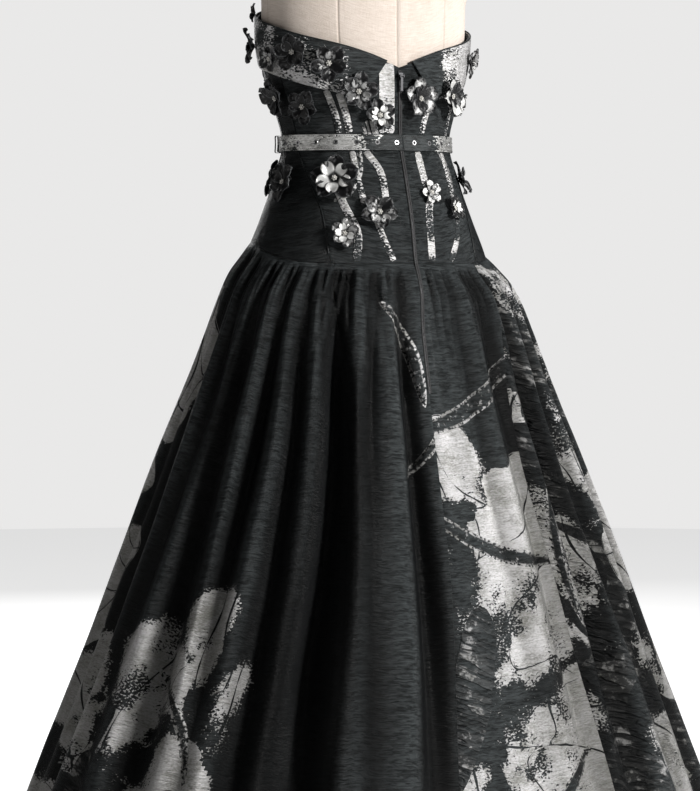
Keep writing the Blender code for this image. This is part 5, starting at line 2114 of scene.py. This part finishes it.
@dataclass
class Zip:
    """The concealed zip: two folded lips with the coil between them."""

    finish: Material
    coil: Material
    repeat: PathRepeat
    lip_width: float = 2.7 * MM
    gap: float = 0.6 * MM
    base: float = 0.35 * MM
    crown: float = 0.9 * MM
    coil_pitch: float = 1.2 * MM
    coil_seat: float = 0.6 * MM
    tooth_size: tuple[float, float, float] = (0.5 * MM, 1.2 * MM, 0.5 * MM)
    below_neck: float = 2 * MM
    start_share: float = 0.004
    end_share: float = 0.205
    smoothed: int = 9

    def line(self, count: int = 150) -> Path:
        """The zip's middle line on bodice and skirt, smoothed where they meet.

        Args:
            count: Points on the bodice.

        Returns:
            The line's points and outward directions.
        """
        rise = np.linspace(float(SHAPE.neck(0.0)) - self.below_neck, SHAPE.hip_seam_low, count)
        high = SHAPE.body(np.zeros(count), rise)
        share = np.linspace(self.start_share, self.end_share, 90)
        low = SHAPE.skirt(BACK_SEAM.at(share)[:, 0], share)
        path = np.concatenate([high, low])
        kernel, spare = np.ones(self.smoothed) / self.smoothed, self.smoothed // 2
        padded = np.concatenate([np.repeat(path[:1], spare, 0), path, np.repeat(path[-1:], spare, 0)])
        path = np.stack([np.convolve(padded[:, k], kernel, "valid") for k in range(3)], -1)
        tangent = np.gradient(path, axis=0)
        out = np.cross(np.tile([1.0, 0.0, 0.0], (len(path), 1)), tangent)
        return path, out / np.linalg.norm(out, axis=-1, keepdims=True)

    def build(self) -> None:
        """Makes the lips and the coil."""
        path, out = self.line()
        side = np.cross(out, np.gradient(path, axis=0))
        side /= np.linalg.norm(side, axis=-1, keepdims=True)
        reach = (self.lip_width + self.gap) / 2
        size = (self.lip_width, self.base, self.crown, self.finish)
        lips = [ribbon(f"lip_{s}", path + side * reach * s, out, *size, hollow=0.0) for s in (-1, 1)]
        ride(joined("zip_lips", lips), "zip_tape_cloth", "zip_tape")
        tooth = tooth_piece(self.tooth_size)
        coil = self.repeat.run("zip_coil", [(path + out * self.coil_seat, out)], tooth, self.coil_pitch, self.coil)
        ride(coil, "dark_metal")


class Bloom(NamedTuple):
    """One sewn flower: rise, radius and seat off the body in millimetres, angle and turn in degrees, cloths."""

    angle: float
    rise: float
    radius: float
    seat: float
    turn: float
    outer: str
    inner: str
    on: str


BLOOMS = (
    Bloom(117.0, 139, 24, 4.9, 10, "black", "black", "band"),
    Bloom(123.0, 186, 12, 3.9, 40, "black", "black", "band"),
    Bloom(83.6, 117, 16, 4.9, 0, "black", "grey", "band"),
    Bloom(62.6, 125, 23, 4.9, 25, "black", "black", "band"),
    Bloom(40.6, 109, 24, 4.9, 50, "black", "grey", "band"),
    Bloom(91.0, 64, 27, 0.7, 15, "black", "black", "bodice_side_left"),
    Bloom(65.0, 50, 22, 0.7, 60, "black", "black", "bodice_back_left"),
    Bloom(26.2, 70, 24, 4.9, 5, "black", "grey", "bodice_back_left"),
    Bloom(14.0, 38, 19, 0.7, 35, "black", "silver", "bodice_back_left"),
    Bloom(-13.0, 62, 25, 0.7, 20, "grey", "black", "bodice_back_right"),
    Bloom(-39.0, 68, 26, 4.9, 48, "silver", "black", "bodice_back_right"),
    Bloom(-66.0, 120, 20, 4.9, 12, "grey", "silver", "band"),
    Bloom(-66.0, 62, 18, 0.7, 33, "silver", "grey", "bodice_back_right"),
    Bloom(44.0, -52, 31, 0.7, 18, "black", "silver", "bodice_back_left"),
    Bloom(83.0, -56, 25, 0.7, 44, "black", "black", "bodice_side_left"),
    Bloom(35.0, -128, 19, 0.1, 8, "grey", "silver", "bodice_back_left"),
    Bloom(18.0, -98, 24, 0.7, 56, "black", "grey", "bodice_back_left"),
    Bloom(-15.5, -70, 15, 0.7, 30, "silver", "grey", "bodice_back_right"),
    Bloom(-32.0, -92, 17, 0.3, 0, "black", "silver", "bodice_back_right"),
    Bloom(-62.0, -50, 23, 0.7, 22, "black", "grey", "bodice_side_right"),
    Bloom(149.0, 96, 26, 0.1, 52, "grey", "silver", "bodice_front"),
    Bloom(172.0, 70, 22, 0.7, 14, "black", "black", "bodice_front"),
    Bloom(-152.0, 100, 25, 0.7, 38, "black", "grey", "bodice_front"),
    Bloom(-122.0, 122, 24, 4.9, 3, "grey", "grey", "band"),
    Bloom(-95.0, 78, 23, 0.7, 47, "black", "black", "bodice_side_right"),
    Bloom(-128.0, 50, 21, 0.7, 28, "silver", "silver", "bodice_front"),
    Bloom(126.0, -52, 24, 0.7, 11, "black", "grey", "bodice_front"),
    Bloom(160.0, -70, 26, 0.7, 58, "silver", "silver", "bodice_front"),
    Bloom(-158.0, -48, 20, 0.7, 24, "black", "black", "bodice_front"),
    Bloom(-120.0, -62, 25, 0.7, 6, "grey", "silver", "bodice_side_right"),
)


@dataclass
class Blossoms:
    """Sewn flowers of ten cut petals in two rings, with a cluster of stones."""

    petals: dict[str, Material]
    stone: Material
    petal_count: int = 5
    petal_width: float = 0.385
    petal_wall: float = 0.04
    petal_cuts: int = 3
    fullness: float = 1.14
    tree: Tree = field(init=False)

    def __post_init__(self) -> None:
        """Builds the flower's tree: two rings of petals and the stones."""
        parts = ("Outer", "Inner", "Stone")
        ports = [Port(part, "Object") for part in parts] + [Port(f"{part} finish", "Material") for part in parts]
        self.tree, draft, inside, outside = geometry_tree("flower", ports + [Port("Seed", "Int"), Port("Radius")])
        whole = draft.add("GeometryNodeJoinGeometry")
        rings = (("Outer", 0.0, 1.0, 0.0, 0.0), ("Inner", 36.0, 0.74, 1.8 * MM, 0.06))
        for number, (name, turn, size, lift, tilt) in enumerate(rings):
            circle = draft.add("GeometryNodeMeshCircle", {"Vertices": self.petal_count, "Radius": 1.2 * MM})
            shift = draft.add("GeometryNodeTransform", {0: circle.outputs[0]})
            shift.inputs["Translation"].default_value = (0.0, 0.0, lift)
            index = draft.add("GeometryNodeInputIndex").outputs[0]
            angle = draft.math("MULTIPLY_ADD", index, 2 * math.pi / self.petal_count, math.radians(turn))
            spin = self.chance(draft, inside, -0.16, 0.16, number)
            lean = self.chance(draft, inside, -tilt - 0.22, -tilt + 0.20, number + 10)
            grow = self.chance(draft, inside, 0.90 * size, 1.06 * size, number + 20)
            euler = draft.add("ShaderNodeCombineXYZ", {1: lean, 2: draft.math("ADD", angle, spin)})
            petal = draft.add("GeometryNodeObjectInfo", {"Object": inside.outputs[name]}).outputs["Geometry"]
            scale = draft.math("MULTIPLY", grow, inside.outputs["Radius"])
            places = {"Points": shift.outputs[0], "Instance": petal, "Rotation": euler.outputs[0], "Scale": scale}
            placed = draft.add("GeometryNodeInstanceOnPoints", places)
            self.dressed(draft, placed, inside.outputs[f"{name} finish"], whole)
        self.stones(draft, inside, whole)
        draft.put(outside.inputs[0], whole.outputs[0])

    def dressed(self, draft: Draft, placed: Node, finish: Socket, whole: Node) -> None:
        """Makes placed copies real, gives them their finish and adds them to the flower.

        Args:
            draft: The tree's draft.
            placed: The node that places the copies.
            finish: Their material.
            whole: The node that joins the flower.
        """
        real = draft.add("GeometryNodeRealizeInstances", {0: placed.outputs[0]})
        given = draft.add("GeometryNodeSetMaterial", {0: real.outputs[0], "Material": finish})
        draft.tree.links.new(given.outputs[0], whole.inputs[0])

    def chance(self, draft: Draft, inside: Node, low: float, high: float, number: int) -> Socket:
        """A seeded random number for each petal.

        Args:
            draft: The tree's draft.
            inside: The tree's input node.
            low: Least value.
            high: Greatest value.
            number: Which draw.

        Returns:
            The value's socket.
        """
        node = draft.add("FunctionNodeRandomValue", data_type="FLOAT")
        node.inputs[2].default_value, node.inputs[3].default_value = low, high
        draft.put(node.inputs["Seed"], draft.math("ADD", inside.outputs["Seed"], float(number)))
        return node.outputs[1]

    def stones(self, draft: Draft, inside: Node, whole: Node) -> None:
        """Adds the ring of stones and the middle one to the flower's tree.

        Args:
            draft: The tree's draft.
            inside: The tree's input node.
            whole: The node that joins the flower.
        """
        for vertices, radius, height, size in ((6, 2.9 * MM, 0.22, 1.4 * MM), (1, 0.0, 0.26, 1.8 * MM)):
            if vertices > 1:
                spot = draft.add("GeometryNodeMeshCircle", {"Vertices": vertices, "Radius": radius})
            else:
                spot = draft.add("GeometryNodeMeshLine", {"Count": 1})
            rise = draft.math("MULTIPLY", inside.outputs["Radius"], height)
            place = draft.add("ShaderNodeCombineXYZ", {2: rise}).outputs[0]
            shift = draft.add("GeometryNodeTransform", {0: spot.outputs[0], "Translation": place})
            stone = draft.add("GeometryNodeObjectInfo", {"Object": inside.outputs["Stone"]}).outputs["Geometry"]
            places = {"Points": shift.outputs[0], "Instance": stone, "Scale": (size, size, size)}
            placed = draft.add("GeometryNodeInstanceOnPoints", places)
            self.dressed(draft, placed, inside.outputs["Stone finish"], whole)

    def petal(self, cloth: str, seed: int) -> Object:
        """A cut petal of length 1 along +X, cupped towards +Z, to repeat.

        Args:
            cloth: Which petal cloth.
            seed: Which ruffle.

        Returns:
            The petal.
        """
        rows, columns = 10, 9
        v = np.linspace(0, 1, rows)[:, None]
        u = np.linspace(-1, 1, columns)[None]
        rng = np.random.default_rng(seed)
        swell = np.clip((v - 0.52) / 0.48, 0, 0.985)
        half = np.where(v > 0.52, np.sqrt(1 - swell**2.4), 0.24 + 0.76 * np.sin(v / 0.52 * math.pi / 2) ** 1.2)
        half = self.petal_width * half * (1 + 0.05 * rng.uniform(-1, 1, rows)[:, None] * v)
        notch = 0.16 * np.exp(-((u / 0.22) ** 2)) * smooth_step(v, 0.75, 1.0)
        reach = v - notch - 0.05 * u**2 * smooth_step(v, 0.6, 1.0)
        ruffle = 0.05 * np.sin(u * 4.5 + rng.uniform(0, 6)) * v**2 + 0.03 * np.sin(v * 8 + u * 3 + rng.uniform(0, 6))
        height = 0.05 + 0.24 * np.sin(v * 2.2) + 0.10 * u**2 * v + ruffle
        top = np.stack([reach + 0 * u, half * u, height], -1)
        bottom = top - np.array([0.0, 0.0, self.petal_wall])
        count = rows * columns
        faces = grid_faces(rows, columns, 0, False, False) + grid_faces(rows, columns, count, False, True)
        rim = list(range(columns)) + [r * columns + columns - 1 for r in range(1, rows)]
        rim += list(range(count - 2, count - columns - 1, -1)) + [r * columns for r in range(rows - 2, 0, -1)]
        faces += [(a, b, b + count, a + count) for a, b in zip(rim, rim[1:] + rim[:1])]
        mesh = raw_mesh("petal", np.concatenate([top.reshape(-1, 3), bottom.reshape(-1, 3)]), faces)
        flat = np.concatenate([top[..., 1::-1].reshape(-1, 2)] * 2) * 0.028
        set_cloth_data(mesh, flat, [])
        inside = np.minimum((1 - np.abs(u)) * (0.4 + 0.6 * v), (1 - v) * 1.3 + 0 * u).ravel()
        set_number(mesh, "rim", np.concatenate([inside, inside]))
        mesh.materials.append(self.petals[cloth])
        obj = bpy.data.objects.new(f"petal_{cloth}_{seed}", mesh)
        face_outwards(obj)
        smooth(obj.data, 60)
        return obj

    def build(self) -> dict[str, list[Object]]:
        """Makes every flower.

        Returns:
            The flowers by what they are sewn to.
        """
        gem = cone_piece("gem", 1.0, 0.55, 0.7, 8)
        gem.data.shade_flat()
        cuts = {(cloth, k): self.petal(cloth, k) for cloth in self.petals for k in range(self.petal_cuts)}
        sewn: dict[str, list[Object]] = {}
        for number, bloom in enumerate(BLOOMS, start=1):
            obj = new_object(f"petal_flower_{number:02d}", bpy.data.meshes.new("start"))
            values: Inputs = {
                "Outer": cuts[bloom.outer, number % self.petal_cuts],
                "Inner": cuts[bloom.inner, (number + 1) % self.petal_cuts],
                "Stone": gem,
                "Outer finish": self.petals[bloom.outer],
                "Inner finish": self.petals[bloom.inner],
                "Stone finish": self.stone,
                "Seed": number * 37,
                "Radius": bloom.radius * MM * self.fullness,
            }
            realized(obj, self.tree, values)
            point, out = body_path([(bloom.angle, bloom.rise), (bloom.angle, bloom.rise + 0.1)], 2, bloom.seat * MM)
            normal = Vector(out[0])
            side = Vector((0, 0, 1)).cross(normal).normalized()
            turn = Matrix((side, normal.cross(side), normal)).transposed().to_4x4()
            spin = Matrix.Rotation(math.radians(bloom.turn), 4, "Z")
            obj.data.transform(Matrix.Translation(Vector(point[0])) @ turn @ spin)
            ride(obj, "petal_cloth", f"flower_{number:02d}")
            sewn.setdefault(bloom.on, []).append(obj)
        return sewn


@dataclass
class DressForm:
    """The linen-covered torso with its seams."""

    finish: Material
    low_rise: float = -0.275
    shoulder_rise: float = 0.2
    collar_rise: float = 0.398
    top_rise: float = 0.455
    rounding: float = 0.014
    wall: float = 2.0 * MM
    clearance: float = 0.7 * MM
    taper: float = 0.022
    cup_share: float = 0.7
    seam_dip: float = 0.5 * MM
    seam_reach: float = 2.4
    seam_angles: tuple[float, ...] = (0.0, 33.0, -33.0, 92.0, -92.0, 145.0, -145.0, 180.0)

    def build(self) -> None:
        """Makes the torso's cover, closed below and above."""
        rise = np.concatenate([
            self.low_rise + np.linspace(0, self.rounding, 6),
            np.linspace(self.low_rise + 0.018, 0.452, 170),
            [0.4545, self.top_rise],
        ])[:, None]
        angle = np.linspace(0, 360, 168, endpoint=False)[None] + 0 * rise
        rise = rise + 0 * angle
        inset = self.wall + self.clearance + self.taper * np.abs(rise)
        inset = inset * (1 - smooth_step(rise, self.shoulder_rise, 0.3))
        inset = inset + 12 * MM * (1 - smooth_step(rise, self.low_rise, self.low_rise + self.rounding))
        inset = inset + 2 * MM * smooth_step(rise, 0.4530, self.top_rise)
        section = np.where((rise < self.shoulder_rise)[..., None], BODY.at(rise), SHOULDERS.at(rise))
        point, out = ring(angle, section)
        # Millimetres to the nearest seam, with another sign on each side of a seam for the shader's line.
        arc = np.abs(rise - self.collar_rise) / MM
        for seam in self.seam_angles:
            arc = np.minimum(arc, np.abs(turned(angle - seam)) * section[..., 0] * 17.0)
        crossed = np.searchsorted(sorted(a % 360 for a in self.seam_angles), angle, side="right")
        arc = np.where((crossed + (rise > self.collar_rise)) % 2 == 0, arc, -arc)
        dip = self.seam_dip * np.exp(-((arc / self.seam_reach) ** 2))
        point = point + out * (self.cup_share * SHAPE.cup(angle, rise) - inset - dip)[..., None]
        grid = np.concatenate([point, (SHAPE.waist_height + rise)[..., None]], -1)[::-1]
        rows, columns = grid.shape[:2]
        faces = grid_faces(rows, columns, 0, True, False)
        points = np.concatenate([grid.reshape(-1, 3), grid[:1].mean(1), grid[-1:].mean(1)])
        top, low, last = rows * columns, rows * columns + 1, (rows - 1) * columns
        for c in range(columns):
            n = (c + 1) % columns
            faces += [(n, c, top), (last + c, last + n, low)]
        mesh = raw_mesh("form_cover", points, faces)
        cloth = cloth_coordinates(grid).reshape(-1, 2)
        set_cloth_data(mesh, np.concatenate([cloth, cloth[:1], cloth[-1:]]), [])
        set_number(mesh, "seam", np.append(arc[::-1].ravel(), [50.0, 50.0]))
        mesh.materials.append(self.finish)
        ride(new_object("form_cover", smooth(mesh)), "form_linen", "form_torso")


@dataclass
class Studio:
    """Floor, lights and camera, set at the photograph's angle."""

    floor: Material
    azimuth: float = 150.0
    distance: float = 4.5
    camera_height: float = 0.90
    target_height: float = 0.702
    aside: float = 0.0229
    lens: float = 143.2

    def axes(self) -> tuple[Vector, Vector]:
        """The view's right and the direction to the camera, both level."""
        a = math.radians(180.0 - self.azimuth)
        return Vector((-math.cos(a), math.sin(a), 0.0)), Vector((math.sin(a), math.cos(a), 0.0))

    def light(self, name: str, spot: Vector, size: float, power: float, color: tuple[float, float, float]) -> None:
        """Adds a square soft light that faces the gown.

        Args:
            name: The light's name.
            spot: Where it stands.
            size: Its width.
            power: Its power in watts.
            color: Its colour.
        """
        data = bpy.data.lights.new(name, "AREA")
        data.size, data.energy, data.color = size, power, color
        obj = bpy.data.objects.new(name, data)
        obj.location = spot
        obj.rotation_euler = (Vector((0.0, 0.0, 0.75)) - spot).to_track_quat("-Z", "Y").to_euler()
        bpy.context.scene.collection.objects.link(obj)

    def build(self) -> None:
        """Makes the floor, the lights, the surroundings and the camera."""
        self.build_floor()
        self.build_lights()
        self.build_surroundings()
        self.build_camera()

    def build_floor(self) -> None:
        """Makes the round floor."""
        bm = bmesh.new()
        bmesh.ops.create_circle(bm, cap_ends=True, segments=96, radius=6.0)
        mesh = bpy.data.meshes.new("floor")
        bm.to_mesh(mesh)
        bm.free()
        mesh.materials.append(self.floor)
        new_object("floor", mesh)

    def build_lights(self) -> None:
        """Makes the lights: a strong one from the view's right, and three soft ones."""
        right, back = self.axes()
        up = Vector((0.0, 0.0, 1.0))
        self.light("key", right * 3.0 + back * 1.65 + up * 2.1, 0.7, 158.0, (1.0, 0.99, 0.97))
        self.light("fill", right * -3.0 + back * 0.8 + up * 1.5, 1.6, 10.0, (1.0, 0.98, 0.95))
        self.light("top", right * 0.3 - back * 0.4 + up * 3.4, 1.4, 26.0, (1.0, 1.0, 1.0))
        self.light("far", right * -0.6 - back * 3.4 + up * 1.9, 2.2, 42.0, (1.0, 1.0, 1.0))

    def build_surroundings(self) -> None:
        """Makes the plain surroundings, which look bright but light the gown little."""
        world = bpy.data.worlds.new("studio")
        bpy.context.scene.world = world
        world.use_nodes = True
        shade = world.node_tree.nodes["Background"]
        shade.inputs[0].default_value = (0.95, 0.945, 0.94, 1.0)
        draft = Draft(world.node_tree)
        seen = draft.add("ShaderNodeLightPath").outputs["Is Camera Ray"]
        draft.put(shade.inputs[1], draft.math("MULTIPLY_ADD", seen, 0.81, 0.05))
        bpy.context.scene.view_settings.view_transform = "Standard"

    def build_camera(self) -> None:
        """Makes the camera."""
        right, back = self.axes()
        up = Vector((0.0, 0.0, 1.0))
        camera = bpy.data.cameras.new("camera")
        camera.lens = self.lens
        obj = bpy.data.objects.new("camera", camera)
        target = right * -self.aside + up * self.target_height
        obj.location = target + back * self.distance + up * (self.camera_height - self.target_height)
        obj.rotation_euler = (target - obj.location).to_track_quat("-Z", "Y").to_euler()
        bpy.context.scene.collection.objects.link(obj)
        bpy.context.scene.camera = obj


def dress_solids(finishes: Finishes) -> None:
    """Gives the metal nodes that stay their finishes."""
    for name in ("zip_slider", "zip_pull", "belt_buckle", "belt_prong", "stand_pole", "stand_base"):
        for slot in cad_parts[name].material_slots:
            slot.material = finishes.dark_metal


def main() -> None:
    """Builds the gown's looks in order."""
    logging.basicConfig(level=logging.INFO, format="%(name)s %(message)s")
    make_groups()
    finishes = Finishes()
    Studio(finishes.floor).build()
    repeat = PathRepeat()
    gores = Skirt(finishes.cloth).build()
    panels = Bodice(finishes.cloth).build()
    Boning(finishes.band).build()
    SeamTrim(finishes.cloth, finishes.thread, repeat).build()
    band = NeckBand(finishes.band, finishes.cloth).build()
    Belt(finishes.strap, finishes.cloth, finishes.steel, finishes.tape, finishes.thread, repeat).build()
    Zip(finishes.tape, finishes.dark_metal, repeat).build()
    flowers = Blossoms(finishes.petals, finishes.stone).build()
    DressForm(finishes.linen).build()
    dress_solids(finishes)


if __name__ == "__main__":
    main()
